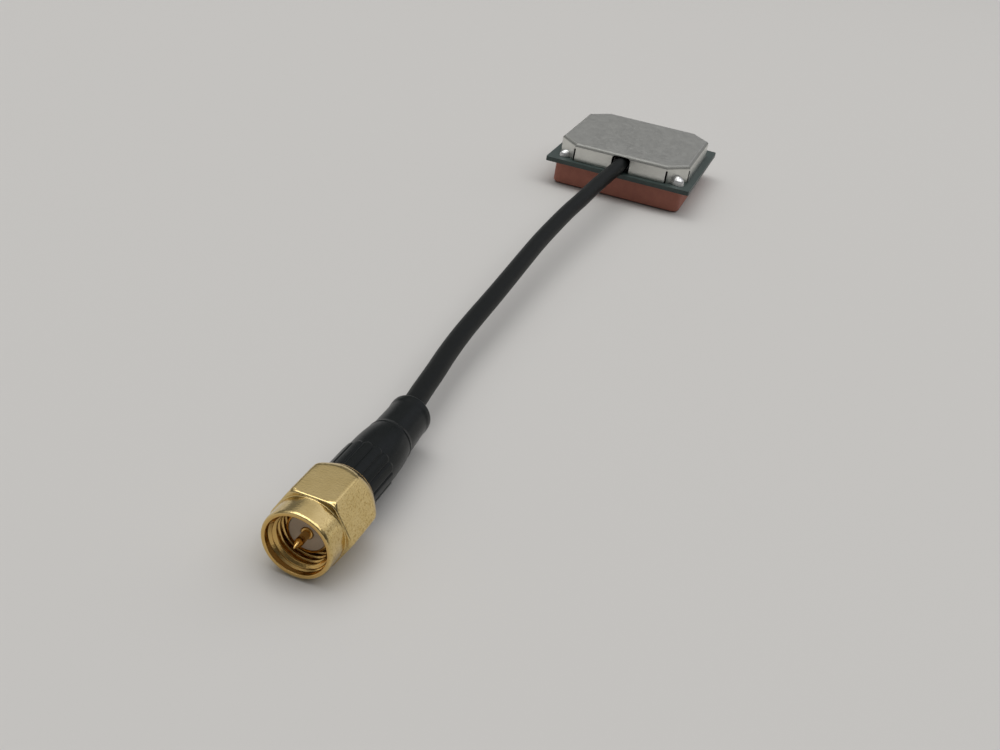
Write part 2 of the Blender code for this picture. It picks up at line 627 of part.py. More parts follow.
def make_nut(finish, parent):
    """Hexagon turned to a cone at both ends, with a round collar in front and a stepped bore."""
    corner_radius = NUT_ACROSS_FLATS / 2 / math.cos(math.radians(30.0))
    hexagon = [
        (corner_radius * math.cos(math.radians(60 * i)), corner_radius * math.sin(math.radians(60 * i)))
        for i in range(6)
    ]
    bm = extruded(hexagon, COLLAR_LENGTH, NUT_LENGTH)
    bmesh.ops.rotate(bm, verts=bm.verts, matrix=Matrix.Rotation(math.radians(-90.0), 3, "X"))
    rear = [e for e in bm.edges if all(v.co.y > NUT_LENGTH - MERGE_DISTANCE for v in e.verts)]
    bevel_edges(bm, [e for e in bm.edges if e not in rear], NUT_EDGE_BREAK, 2)
    nut = finish_object("coupling_nut", bm, finish, parent=parent)
    wide = corner_radius + CUTTER_OVERRUN
    front_cone = (wide - NUT_FRONT_RADIUS) / math.tan(NUT_FRONT_ANGLE)
    rear_cone = (wide - NUT_REAR_RADIUS) / math.tan(NUT_REAR_ANGLE)
    blank = turned(
        "nut_blank",
        [(0.0, COLLAR_LENGTH), (NUT_FRONT_RADIUS, COLLAR_LENGTH), (wide, COLLAR_LENGTH + front_cone),
         (wide, NUT_LENGTH - rear_cone), (NUT_REAR_RADIUS, NUT_LENGTH), (0.0, NUT_LENGTH)],
        None, parent, 2 * ROUND_STEPS,
    )
    boolean(nut, blank, "INTERSECT")
    edge_corner = (COLLAR_RADIUS - COLLAR_EDGE_DEPTH, COLLAR_EDGE_LENGTH)
    edge = [
        (edge_corner[0] + COLLAR_EDGE_DEPTH * out, edge_corner[1] + COLLAR_EDGE_LENGTH * along)
        for out, along in arc((0.0, 0.0), 1.0, -90, 0, CORNER_STEPS)
    ]
    root = (COLLAR_LENGTH + NUT_LENGTH) / 2
    collar = turned(
        "nut_collar", [(0.0, 0.0), *edge, (COLLAR_RADIUS, root), (0.0, root)],
        None, parent, 2 * ROUND_STEPS,
    )
    boolean(nut, collar, "UNION")
    thread_end = LEAD_IN_LENGTH + THREAD_LENGTH
    relief_end = thread_end + THREAD_RELIEF_LENGTH
    groove_start = RING_START - RUNNING_GAP
    groove_end = RING_START + RING_WIDTH + RUNNING_GAP
    lead_in_slope = (MOUTH_RADIUS - THREAD_MEAN_RADIUS) / LEAD_IN_LENGTH
    bore = turned(
        "nut_bore",
        [(0.0, -CUTTER_OVERRUN), (MOUTH_RADIUS + CUTTER_OVERRUN * lead_in_slope, -CUTTER_OVERRUN),
         (THREAD_MEAN_RADIUS, LEAD_IN_LENGTH), (THREAD_MEAN_RADIUS, thread_end),
         (THREAD_RELIEF_RADIUS, thread_end), (THREAD_RELIEF_RADIUS, relief_end),
         (NUT_BORE_RADIUS, relief_end), (NUT_BORE_RADIUS, groove_start),
         (RING_GROOVE_RADIUS, groove_start), (RING_GROOVE_RADIUS, groove_end),
         (NUT_BORE_RADIUS, groove_end), (NUT_BORE_RADIUS, NUT_LENGTH + CUTTER_OVERRUN),
         (0.0, NUT_LENGTH + CUTTER_OVERRUN)],
        None, parent,
    )
    boolean(nut, bore, "DIFFERENCE")


def make_retaining_ring(finish, parent):
    """The open spring ring that lets the nut turn but not slide off."""
    inner = BODY_GROOVE_RADIUS + FIT_GAP
    outer = RING_GROOVE_RADIUS - RUNNING_GAP
    profile = tube_profile(inner, outer, RING_START, RING_START + RING_WIDTH)
    bm = spun(profile, ROUND_STEPS, math.tau - RING_OPENING / inner)
    finish_object("retaining_ring", bm, finish, parent=parent)


def make_plug_body(finish, parent):
    """Outer conductor: front sleeve, flange with the ring's groove, rear wall and crimp stem."""
    groove_end = RING_START + RING_WIDTH + FIT_GAP
    cavity_end = BODY_REAR - BODY_REAR_WALL
    edge = SLEEVE_WALL / 3
    turned(
        "plug_body",
        [(SLEEVE_INNER_RADIUS, REFERENCE_PLANE), (SLEEVE_RADIUS - edge, REFERENCE_PLANE),
         (SLEEVE_RADIUS, REFERENCE_PLANE + edge), (SLEEVE_RADIUS, FLANGE_START),
         (FLANGE_RADIUS, FLANGE_START), (FLANGE_RADIUS, RING_START - FIT_GAP),
         (BODY_GROOVE_RADIUS, RING_START - FIT_GAP), (BODY_GROOVE_RADIUS, groove_end),
         (FLANGE_RADIUS, groove_end), (FLANGE_RADIUS, BODY_REAR), (STEM_RADIUS, BODY_REAR),
         (STEM_RADIUS, STEM_END), (STEM_INNER_RADIUS, STEM_END), (STEM_INNER_RADIUS, cavity_end),
         (SLEEVE_INNER_RADIUS, cavity_end)],
        finish, parent,
    )


def make_plug_insulator(finish, parent):
    """The insulator, with a shallow well that seats the pin's shoulder."""
    bore = PIN_RADIUS + FIT_GAP
    well = PIN_SHOULDER_RADIUS + FIT_GAP
    well_bottom = REFERENCE_PLANE + PIN_WELL_DEPTH
    turned(
        "plug_insulator",
        [(bore, well_bottom), (well, well_bottom), (well, REFERENCE_PLANE),
         (INSULATOR_RADIUS - INSULATOR_EDGE, REFERENCE_PLANE),
         (INSULATOR_RADIUS, REFERENCE_PLANE + INSULATOR_EDGE),
         (INSULATOR_RADIUS, INSULATOR_REAR), (bore, INSULATOR_REAR)],
        finish, parent,
    )


def make_centre_pin(finish, parent):
    """Pin with a tapered tip, a shoulder on the insulator and, behind, the hole that takes the core."""
    tip = arc((0.0, PIN_TIP + PIN_TIP_RADIUS), PIN_TIP_RADIUS, -90, -20, 3)
    rear = INSULATOR_REAR
    hole = CORE_RADIUS + FIT_GAP
    hole_start = rear - CORE_IN_PIN - FIT_GAP
    shoulder_start = REFERENCE_PLANE - PIN_SHOULDER_PROUD
    shoulder_end = REFERENCE_PLANE + PIN_WELL_DEPTH - FIT_GAP
    edge = (PIN_SHOULDER_RADIUS - PIN_RADIUS) / 2
    turned(
        "centre_pin",
        [*tip, (PIN_RADIUS, PIN_TIP + PIN_TAPER), (PIN_RADIUS, shoulder_start),
         (PIN_SHOULDER_RADIUS - edge, shoulder_start), (PIN_SHOULDER_RADIUS, shoulder_start + edge),
         (PIN_SHOULDER_RADIUS, shoulder_end), (PIN_RADIUS, shoulder_end), (PIN_RADIUS, rear),
         (hole, rear), (hole, hole_start), (0.0, hole_start)],
        finish, parent, SMALL_STEPS,
    )


def make_gasket(finish, parent):
    """The sealing ring round the foot of the sleeve."""
    inner = SLEEVE_RADIUS + FIT_GAP
    end = FLANGE_START - FIT_GAP
    start = end - GASKET_LENGTH
    edge = (GASKET_RADIUS - inner) / 4
    turned(
        "sealing_gasket",
        [(inner, start), (GASKET_RADIUS - edge, start), (GASKET_RADIUS, start + edge),
         (GASKET_RADIUS, end - edge), (GASKET_RADIUS - edge, end), (inner, end)],
        finish, parent,
    )


def make_plug_cable_end(braid_finish, insulation_finish, core_finish, parent):
    """The lead's stripped end in the plug: braid over the stem, insulation and core through it."""
    insulation_start = INSULATOR_REAR + FIT_GAP
    core_start = INSULATOR_REAR - CORE_IN_PIN
    turned("plug_braid_end",
           tube_profile(STEM_RADIUS + FIT_GAP, PLUG_BRAID_RADIUS, FERRULE_FRONT, PLUG_BRAID_END),
           braid_finish, parent, SMALL_STEPS)
    turned("plug_cable_insulation",
           tube_profile(CORE_RADIUS + FIT_GAP, INSULATION_RADIUS, insulation_start, PLUG_BRAID_END),
           insulation_finish, parent, SMALL_STEPS)
    turned("plug_cable_core", tube_profile(0.0, CORE_RADIUS, core_start, PLUG_BRAID_END),
           core_finish, parent, SMALL_STEPS)


def make_ferrule(finish, parent):
    """A round sleeve, pressed to a hexagon over the crimped length."""
    rows = [FERRULE_FRONT, CRIMP_START, CRIMP_START + FERRULE_WALL, CRIMP_END - FERRULE_WALL,
            CRIMP_END, FERRULE_REAR]
    outer = [(FERRULE_RADIUS, along) for along in rows]
    profile = [(FERRULE_INNER_RADIUS, FERRULE_FRONT), *outer, (FERRULE_INNER_RADIUS, FERRULE_REAR)]
    bm = spun(profile, ROUND_STEPS)
    sixth = math.radians(60.0)
    pressed = (CRIMP_START + FERRULE_WALL / 2, CRIMP_END - FERRULE_WALL / 2)
    for vert in bm.verts:
        radius = math.hypot(vert.co.x, vert.co.z)
        if radius < FERRULE_RADIUS - MERGE_DISTANCE or not pressed[0] < vert.co.y < pressed[1]:
            continue
        angle = math.atan2(vert.co.z, vert.co.x) % sixth - sixth / 2
        flat = CRIMP_ACROSS_FLATS / 2 / math.cos(angle)
        squeeze = min(1.0, flat / radius)
        vert.co.x *= squeeze
        vert.co.z *= squeeze
    finish_object("crimp_ferrule", bm, finish, parent=parent)


def boot_profile():
    """Outer line of the boot from the nut to the rim, then back along the bore."""
    bore = CABLE_RADIUS + RUNNING_GAP
    ferrule_bore = FERRULE_RADIUS + FIT_GAP
    ferrule_end = FERRULE_REAR + FIT_GAP
    mouth = FLANGE_RADIUS + FIT_GAP
    mouth_end = BODY_REAR + FIT_GAP
    edge = (BOOT_FRONT_RADIUS - mouth) / 2
    shoulder_start = BOOT_BARREL_END
    shoulder_end = BOOT_RING - BOOT_RING_HALF_WIDTH
    drop = BOOT_BARREL_RADIUS - BOOT_RING_RADIUS
    shares = [i / BOOT_SHOULDER_STEPS for i in range(BOOT_SHOULDER_STEPS + 1)]
    shoulder = [
        (BOOT_BARREL_RADIUS - drop * share ** 2, shoulder_start + (shoulder_end - shoulder_start) * share)
        for share in shares
    ]
    rim_start = BOOT_END - BOOT_RIM_LENGTH
    rim_centre = (BOOT_RIM_RADIUS - BOOT_END_ROUND, BOOT_END - BOOT_END_ROUND)
    return [
        (mouth, BOOT_FRONT), (BOOT_FRONT_RADIUS - edge, BOOT_FRONT), (BOOT_FRONT_RADIUS, BOOT_FRONT + edge),
        (BOOT_BARREL_RADIUS, RIB_START), (BOOT_BARREL_RADIUS, RIB_START + RIB_RAMP),
        (BOOT_BARREL_RADIUS, RIB_END - 2 * RIB_RAMP), (BOOT_BARREL_RADIUS, RIB_END - RIB_RAMP),
        (BOOT_BARREL_RADIUS, RIB_END),
        *shoulder,
        (BOOT_RING_RADIUS + BOOT_RING_PROUD, BOOT_RING),
        (BOOT_NECK_FRONT_RADIUS, BOOT_RING + BOOT_RING_HALF_WIDTH),
        (BOOT_NECK_RADIUS, rim_start - BOOT_RIM_RAMP), (BOOT_RIM_RADIUS, rim_start),
        *arc(rim_centre, BOOT_END_ROUND, 0, 90, CORNER_STEPS),
        (bore + BOOT_END_ROUND / 2, BOOT_END), (bore, BOOT_END - BOOT_END_ROUND / 2),
        (bore, ferrule_end), (ferrule_bore, ferrule_end), (ferrule_bore, mouth_end), (mouth, mouth_end),
    ]


def make_boot(finish, parent):
    """The moulded boot: wide grip ribs with pointed rear ends, and narrow grooves between them."""
    bm = spun(boot_profile(), RIB_COUNT * COLUMNS_PER_RIB)
    pitch = math.tau / RIB_COUNT
    rib_side = (pitch - RIB_GROOVE_ANGLE) / 2
    # The middle of a rib, its side, the bottom of the groove, and the side of the next rib
    columns = (0.0, rib_side, pitch / 2, pitch - rib_side)
    for vert in bm.verts:
        radius = math.hypot(vert.co.x, vert.co.z)
        place = round(math.atan2(vert.co.z, vert.co.x) / pitch * COLUMNS_PER_RIB)
        rib, column = divmod(place, COLUMNS_PER_RIB)
        rear = RIB_END if column == 0 else RIB_END - RIB_RAMP
        on_barrel = radius > BOOT_BARREL_RADIUS - MERGE_DISTANCE
        on_rib = RIB_START + MERGE_DISTANCE < vert.co.y < rear - MERGE_DISTANCE
        if on_barrel and on_rib and columns[column] != pitch / 2:
            radius += RIB_HEIGHT
        angle = rib * pitch + columns[column]
        vert.co.x = radius * math.cos(angle)
        vert.co.z = radius * math.sin(angle)
    finish_object("strain_relief_boot", bm, finish, parent=parent)


def main():
    for obj in list(bpy.data.objects):
        bpy.data.objects.remove(obj, do_unlink=True)

    ceramic = material("ceramic", (0.23, 0.075, 0.05), 0.75)
    silver = material("fired_silver", (0.72, 0.70, 0.66), 0.35, 1.0)
    solder = material("solder", (0.70, 0.70, 0.69), 0.25, 1.0)
    tape = material("tape", (0.80, 0.78, 0.72), 0.7)
    laminate = material("board_laminate", (0.035, 0.075, 0.07), 0.45)
    tinplate = material("tinplate", (0.42, 0.43, 0.40), 0.35, 1.0)
    black_resin = material("black_resin", (0.02, 0.02, 0.02), 0.5)
    filter_lid = material("filter_lid", (0.62, 0.60, 0.52), 0.35, 1.0)
    chip_ceramic = material("chip_ceramic", (0.35, 0.28, 0.20), 0.6)
    chip_white = material("chip_white", (0.65, 0.65, 0.62), 0.6)
    jacket = material("cable_jacket", (0.016, 0.017, 0.017), 0.42)
    braid = material("tinned_braid", (0.60, 0.58, 0.55), 0.4, 1.0)
    insulation = material("cable_insulation", (0.85, 0.85, 0.83), 0.45)
    copper = material("tinned_copper", (0.70, 0.52, 0.38), 0.3, 1.0)
    gold = material("gold_plate", (0.83, 0.63, 0.30), 0.25, 1.0)
    spring_bronze = material("spring_bronze", (0.60, 0.42, 0.22), 0.35, 1.0)
    gasket_rubber = material("gasket_rubber", (0.55, 0.12, 0.05), 0.6)
    insulator = material("plug_insulator", (0.45, 0.42, 0.40), 0.45)
    boot_rubber = material("boot_rubber", (0.014, 0.016, 0.016), 0.5)

    make_ceramic(ceramic)
    make_patch_electrode(silver)
    make_cleared_sheet(
        "ground_electrode", GROUND_SIDE, FILM_CORNER_RADIUS, GROUND_BOTTOM, FILM_THICKNESS, silver
    )
    make_cleared_sheet("adhesive_tape", TAPE_SIDE, FILM_CORNER_RADIUS, TAPE_BOTTOM, TAPE_THICKNESS, tape)
    make_board(laminate)
    make_feed(copper, solder)
    make_can(tinplate)
    for end, sign_y in (("front", -1), ("back", 1)):
        for side, sign_x in (("left", -1), ("right", 1)):
            make_tab_solder(f"{end}_{side}", sign_x, sign_y, solder)

    part_finishes = {
        "input_amplifier": black_resin, "output_amplifier": black_resin, "saw_filter": filter_lid,
        "input_capacitor": chip_ceramic, "supply_capacitor": chip_ceramic,
        "output_capacitor": chip_ceramic, "bias_inductor": chip_white, "bias_resistor": black_resin,
    }
    for name in BOARD_PARTS:
        make_board_part(name, part_finishes[name])
    make_can_cable_end(braid, insulation, copper, solder)
    make_cable(jacket)

    plug_axis = empty("plug_axis", (PLUG_X, MOUTH_Y, AXIS_HEIGHT))
    nut_axis = empty("nut_axis", (PLUG_X, MOUTH_Y, AXIS_HEIGHT))
    make_nut(gold, nut_axis)
    make_retaining_ring(spring_bronze, plug_axis)
    make_plug_body(gold, plug_axis)
    make_plug_insulator(insulator, plug_axis)
    make_centre_pin(gold, plug_axis)
    make_gasket(gasket_rubber, plug_axis)
    make_plug_cable_end(braid, insulation, copper, plug_axis)
    make_ferrule(gold, plug_axis)
    make_boot(boot_rubber, plug_axis)


main()
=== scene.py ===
import json
import math

import bmesh
import bpy
import numpy as np
from mathutils import Matrix, Vector


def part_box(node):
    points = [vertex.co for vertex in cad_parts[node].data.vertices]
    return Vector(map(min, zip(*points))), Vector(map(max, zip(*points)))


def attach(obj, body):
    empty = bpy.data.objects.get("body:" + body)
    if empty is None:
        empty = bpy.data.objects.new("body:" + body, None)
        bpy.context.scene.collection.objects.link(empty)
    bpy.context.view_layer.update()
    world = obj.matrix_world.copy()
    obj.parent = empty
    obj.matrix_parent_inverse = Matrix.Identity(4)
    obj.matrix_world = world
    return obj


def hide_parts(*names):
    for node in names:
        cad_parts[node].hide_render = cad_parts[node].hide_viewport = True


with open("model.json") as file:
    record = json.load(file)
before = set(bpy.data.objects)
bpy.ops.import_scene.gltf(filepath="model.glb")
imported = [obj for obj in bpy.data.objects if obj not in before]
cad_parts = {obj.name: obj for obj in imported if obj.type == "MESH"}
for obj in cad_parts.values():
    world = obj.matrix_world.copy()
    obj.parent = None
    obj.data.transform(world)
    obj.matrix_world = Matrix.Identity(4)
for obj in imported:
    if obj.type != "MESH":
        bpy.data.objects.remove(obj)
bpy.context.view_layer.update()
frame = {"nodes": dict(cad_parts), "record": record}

# Looks of the active GPS patch antenna: the camera, the lead, the plug, the finishes, the floor and
# the light. Lengths are metres and +Z is up. The plug and the boot are in millimetres, and places
# on them run along the plug's axis from 0 at the mouth of the coupling nut.

MM = 0.001
nodes = frame["nodes"]

# Camera, fitted to the photograph
FOCAL_PIXELS = 1058.76
IMAGE_WIDTH = 1000
SENSOR_WIDTH = 36.0
CAMERA_PLACE = (0.03811, -0.20254, 0.06995)
CAMERA_AZIMUTH = math.radians(16.078)
CAMERA_ELEVATION = math.radians(30.242)
CAMERA_ROLL = math.radians(9.016)
CAMERA_CLIP = 0.005

# Lead: route of its middle line from the can to the boot, as the part's source has it but for the
# last two points, where it runs on straight as in the photograph
CABLE_ROUTE = [
    (-0.00008, -0.0166, 0.00652),
    (-0.00040, -0.0212, 0.00647),
    (-0.00072, -0.0270, 0.00638),
    (-0.00094, -0.0335, 0.00624),
    (-0.00134, -0.0405, 0.00604),
    (-0.00155, -0.0475, 0.00580),
    (-0.00165, -0.0545, 0.00553),
    (-0.00156, -0.0615, 0.00524),
    (-0.00142, -0.0685, 0.00495),
    (-0.00130, -0.0755, 0.00467),
    (-0.00124, -0.0820, 0.00443),
    (-0.00108, -0.0880, 0.00424),
    (-0.00074, -0.0933, 0.00411),
    (-0.00030, -0.0978, 0.00404),
    (0.00004, -0.1018, 0.00401),
    (0.00038, -0.1050, 0.00400),
]
CABLE_RADIUS = 0.0013
CABLE_EXIT_X = 0.0001
CABLE_STEPS = 8
CABLE_ROUND_STEPS = 8
CABLE_POINTS_IN_BOOT = 5

# Coupling nut, in millimetres. Two cones cut the hexagon: each has its radius at its narrow end,
# which is the collar's end in front and the nut's rear face behind, and its slope.
FLAT_RADIUS = 4.0
RIDGE_FILLET = 0.38
COLLAR_LENGTH = 2.7
COLLAR_RADIUS = 3.80
COLLAR_EDGE_DEPTH = 0.15
COLLAR_EDGE_LENGTH = 0.40
COLLAR_FILLET = 0.09
FACE_MARGIN = 0.02
NUT_FRONT_RADIUS = 4.28
NUT_FRONT_SLOPE = math.tan(math.radians(37.0))
NUT_REAR_RADIUS = 3.38
NUT_REAR_SLOPE = math.tan(math.radians(36.0))
NUT_FRONT_CREASE = 0.20
NUT_REAR_CREASE = 0.50
NUT_EDGE = 0.18
FRONT_CONE_END = 3.5
REAR_CONE_START = 7.6
FRONT_CONE_STEP = 0.04
REAR_CONE_STEP = 0.045
CONE_MARGIN = 0.1
MOUTH_RADIUS = 3.30
MOUTH_DEPTH = 0.62
MOUTH_EDGE = 0.06
THREAD_PITCH = 25.4 / 36
THREAD_MINOR = 2.80
THREAD_MAJOR = 3.175
THREAD_END = 4.5
THREAD_STEP = 0.03
RELIEF_RADIUS = 3.25
RELIEF_END = 5.0
RELIEF_RAMP = 0.10
NUT_BORE = 2.80
NUT_BORE_EDGE = 0.08
RING_GROOVE = (6.70, 7.35)

# Angle between two flats, and how far off a flat's middle the fillet of its ridge starts
SIXTH = math.radians(60.0)
FLAT_END = math.atan(math.tan(SIXTH / 2) * (1 - RIDGE_FILLET / FLAT_RADIUS))

# Plug body, insulator and pin, in millimetres. A rounded sleeve edge passes SLEEVE_EDGE_MIDDLE of
# its radius in from both sides.
REFERENCE_PLANE = 2.2
SLEEVE_RADIUS = 2.27
SLEEVE_INNER = 2.06
SLEEVE_EDGE = 0.07
SLEEVE_EDGE_MIDDLE = 0.3
FLANGE_START = 4.65
FLANGE_RADIUS = 2.70
BODY_GROOVE = (6.77, 7.28)
BODY_GROOVE_RADIUS = 2.38
BODY_REAR = 9.80
CAVITY_END = 9.15
STEM_RADIUS = 0.93
STEM_INNER = 0.75
STEM_END = 14.2
INSULATOR_RADIUS = 2.03
INSULATOR_REAR = 9.12
INSULATOR_EDGE = 0.11
PIN_GAP = 0.03
PIN_WELL_RADIUS = 0.69
PIN_WELL_DEPTH = 0.18
PIN_WELL_EDGE = 0.03
PIN_RADIUS = 0.455
PIN_TIP = -0.30
PIN_TIP_RADIUS = 0.10
PIN_TAPER = 0.90
PIN_TAPER_END = ((0.03, -0.05), (0.008, 0.0), (0.0, 0.06))  # how far in, and past the taper
PIN_SHOULDER = 0.66
PIN_SHOULDER_PROUD = 0.12
PIN_HOLE_RADIUS = 0.27
PIN_HOLE_DEPTH = 1.43

# Boot, in millimetres
BOOT_FRONT = 9.70
BOOT_FRONT_EDGE = ((0.12, 0.0), (0.03, 0.05))  # how far in from the barrel, and behind the front
BOOT_MOUTH = 2.73
BOOT_MOUTH_END = 9.83
BOOT_BARREL = 2.98
BOOT_BARREL_START = 9.85
BOOT_BARREL_STEP = 0.12
BOOT_BARREL_END = 15.1
BOOT_SHOULDER_POWER = 2.6
BOOT_RING = 20.0
BOOT_RING_RADIUS = 2.66
BOOT_RING_FRONT = 0.14
BOOT_RING_REAR = 0.12
BOOT_RING_PROFILE = ((-0.06, 0.035), (0.0, 0.045), (0.06, 0.01))  # behind its middle, and proud
BOOT_NECK_FRONT = 2.59
BOOT_NECK = 2.45
BOOT_RIM = 2.52
BOOT_RIM_START = 25.6
BOOT_RIM_RAMP = 0.7
BOOT_END = 26.5
BOOT_END_ROUND = 0.45
BOOT_BORE = CABLE_RADIUS / MM + 0.10
BOOT_BORE_EDGE = ((0.18, 0.01), (0.05, 0.08))  # how far out from the bore, and before the end
BOOT_BORE_START = 0.25
BOOT_FERRULE_BORE = 1.91
BOOT_FERRULE_END = 15.93
BOOT_LEAN = 0.30
LEAD_LEAN = 0.65
RIB_COUNT = 16
RIB_ANGLES = 18
RIB_HEIGHT = 0.14
RIB_END = 14.8
RIB_HALF_WIDTH = 0.48
RIB_SIDE = 0.11

# Finishes: name, two colours to mottle between, roughness, grains per metre and their depth in
# metres, and metallic
FINISHES = [
    ("ceramic", (0.40, 0.148, 0.103), (0.345, 0.125, 0.087), 0.75, 6000, 1.2e-5, 0.0),
    ("fired_silver", (0.72, 0.71, 0.68), (0.62, 0.61, 0.58), 0.38, 9000, 4e-6, 1.0),
    ("tinned_copper", (0.75, 0.60, 0.47), (0.66, 0.50, 0.38), 0.30, 8000, 2e-6, 1.0),
    ("solder", (0.82, 0.82, 0.81), (0.72, 0.72, 0.71), 0.34, 2500, 1.5e-5, 1.0),
    ("tape", (0.80, 0.79, 0.74), (0.72, 0.71, 0.66), 0.70, 6000, 4e-6, 0.0),
    ("board_laminate", (0.040, 0.062, 0.056), (0.030, 0.046, 0.042), 0.50, 7000, 5e-6, 0.0),
    ("tinplate", (0.70, 0.70, 0.66), (0.63, 0.63, 0.595), 0.33, 1500, 1.0e-5, 1.0),
    ("black_resin", (0.020, 0.020, 0.021), (0.028, 0.028, 0.028), 0.55, 9000, 4e-6, 0.0),
    ("filter_lid", (0.66, 0.62, 0.50), (0.60, 0.57, 0.46), 0.35, 4000, 3e-6, 1.0),
    ("chip_ceramic", (0.36, 0.28, 0.20), (0.30, 0.23, 0.16), 0.60, 9000, 3e-6, 0.0),
    ("chip_white", (0.70, 0.70, 0.67), (0.62, 0.62, 0.60), 0.60, 9000, 3e-6, 0.0),
    ("tinned_braid", (0.62, 0.60, 0.57), (0.45, 0.43, 0.40), 0.40, 9000, 2e-5, 1.0),
    ("cable_insulation", (0.86, 0.86, 0.84), (0.80, 0.80, 0.78), 0.40, 5000, 3e-6, 0.0),
    ("cable_jacket", (0.0062, 0.0074, 0.0072), (0.0080, 0.0092, 0.0090), 0.45, 9000, 4e-6, 0.0),
    ("spring_bronze", (0.62, 0.44, 0.24), (0.52, 0.36, 0.19), 0.35, 6000, 3e-6, 1.0),
    # plug_insulator is darker and browner than the white insulator: painted shade and painted warm
    # light from the gold
    ("plug_insulator", (0.55, 0.44, 0.32), (0.51, 0.40, 0.29), 0.50, 4000, 3e-6, 0.0),
    ("gasket_rubber", (0.42, 0.10, 0.05), (0.34, 0.08, 0.04), 0.60, 6000, 5e-6, 0.0),
    ("boot_rubber", (0.0028, 0.0044, 0.0044), (0.0046, 0.0064, 0.0064), 0.30, 8000, 4e-6, 0.0),
]
SPECULAR = {"cable_jacket": 0.11, "boot_rubber": 0.15}
PLAIN_SPECULAR = 0.5
ROUGHNESS_SPAN = 0.1
MOTTLE_WIDTH = 6
NOISE_ROUGHNESS = 0.55

# Tinplate on the fold round the can's top: how far below the flat top it starts and ends, its
# colour, a painted shade that dims the lamps' highlight along the bend, and what it adds to the
# roughness
FOLD_START = (0.000005, 0.00003)
FOLD_HEIGHT = 0.00055
FOLD_SHADE_COLOUR = (0.30, 0.30, 0.28)
FOLD_ROUGHNESS = 0.25

# Gold plate. Its pits gather on the plug's +X side, which darkens that side with painted shade,
# and painted shade makes it darker and redder nearer the axis than a radius given in millimetres.
GOLD_LIGHT = (0.73, 0.56, 0.26)
GOLD_DARK = (0.67, 0.505, 0.22)
GOLD_PIT = (0.48, 0.33, 0.11)
GOLD_BORE_SHADE = (0.65, 0.42, 0.145)
GOLD_ROUGHNESS = (0.10, 0.23)
GOLD_MOTTLE = 700.0
GOLD_GRAIN = 4500.0
GOLD_GRAIN_DEPTH = 1.7e-5
GOLD_PITS = 5500.0
GOLD_PIT_SPAN = (0.50, 0.66)
GOLD_PITS_SHADE_FROM = 1.6
GOLD_PITS_SHADE_FULLY = 3.0
GOLD_FEWEST_PITS = 0.15
GOLD_BORE_SHADE_RADIUS = (3.72, 3.50)

# Floor
TABLE_COLOUR = (0.64, 0.625, 0.60)
TABLE_ROUGHNESS = 0.85
TABLE_SPECULAR = 0.2
TABLE_HALF = 1.5
TABLE_LEVEL = -2e-5

# Room: grey levels by height, from the horizon at 0 to straight above at 1, a strength that falls
# off towards the front right, and the glow of a window high at the back right
ROOM_LOW = (0.78, 0.78, 0.77)
ROOM_LEVELS = ((0.08, 0.62), (0.15, 0.20), (0.44, 0.17), (0.60, 0.55))
ROOM_HIGH = (0.80, 0.80, 0.80)
ROOM_BRIGHT_SIDE = (-0.8, 1.0, 0.0)
ROOM_STRENGTHS = (0.40, 1.0)
ROOM_SIDE_SPAN = (-0.75, 0.15)
WINDOW_DIRECTION = (0.37, 0.69, 0.62)
WINDOW_SPAN = (0.90, 0.99)
WINDOW_GLOW = (0.82, 0.83, 0.90)

# Light panels: name, place, size and power
PANELS = [
    ("panel_left", (-0.39, 0.10, 1.39), (0.84, 1.10), 6.25),
    ("panel_right", (0.62, 0.10, 1.27), (0.84, 1.10), 3.95),
    ("panel_back", (0.93, 0.95, 0.44), (0.60, 0.66), 0.38),
]
PANEL_TARGET = (0.0, -0.08, 0.0)

# Where the plug lies
nut_low, nut_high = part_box("coupling_nut")
MOUTH_Y = nut_low.y
NUT_LENGTH = (nut_high.y - nut_low.y) / MM
PLUG_X = (nut_low.x + nut_high.x) / 2
AXIS_HEIGHT = (nut_low.z + nut_high.z) / 2


def place_camera():
    """The photograph's view: azimuth from -Y towards +X, elevation, then roll about the view."""
    data = bpy.data.cameras.new("camera")
    data.sensor_width = SENSOR_WIDTH
    data.lens = FOCAL_PIXELS / IMAGE_WIDTH * SENSOR_WIDTH
    data.clip_start = CAMERA_CLIP
    level = math.cos(CAMERA_ELEVATION)
    back = Vector((
        math.sin(CAMERA_AZIMUTH) * level,
        -math.cos(CAMERA_AZIMUTH) * level,
        math.sin(CAMERA_ELEVATION),
    ))
    right = Vector((math.cos(CAMERA_AZIMUTH), math.sin(CAMERA_AZIMUTH), 0.0))
    up = back.cross(right)
    turned_right = right * math.cos(CAMERA_ROLL) + up * math.sin(CAMERA_ROLL)
    turned_up = up * math.cos(CAMERA_ROLL) - right * math.sin(CAMERA_ROLL)
    turn = Matrix((turned_right, turned_up, back)).transposed().to_4x4()
    camera = bpy.data.objects.new("camera", data)
    camera.matrix_world = Matrix.Translation(CAMERA_PLACE) @ turn
    bpy.context.scene.collection.objects.link(camera)
    bpy.context.scene.camera = camera


def smooth_curve(points, steps):
    """Points on a Catmull-Rom curve through the given ones, with so many steps between two."""
    padded = [2 * points[0] - points[1], *points, 2 * points[-1] - points[-2]]
    fine = []
    for before, start, end, after in zip(padded, padded[1:], padded[2:], padded[3:]):
        for i in range(steps):
            t = i / steps
            fine.append(0.5 * (
                2 * start + (end - before) * t
                + (2 * before - 5 * start + 4 * end - after) * t ** 2
                + (3 * start - before - 3 * end + after) * t ** 3
            ))
    fine.append(points[-1])
    return fine


def boot_lean(along):
    """How far to +X the boot's middle line has turned at a place along the plug."""
    share = max(along - BOOT_BARREL_END, 0.0) / (BOOT_END - BOOT_BARREL_END)
    return -BOOT_LEAN * share ** 2


def lead_lean(along):
    """The same for the lead and its bore, which leave the boot off its middle."""
    share = max(along - BOOT_FERRULE_END, 0.0) / (BOOT_END - BOOT_FERRULE_END)
    return -LEAD_LEAN * share ** 2


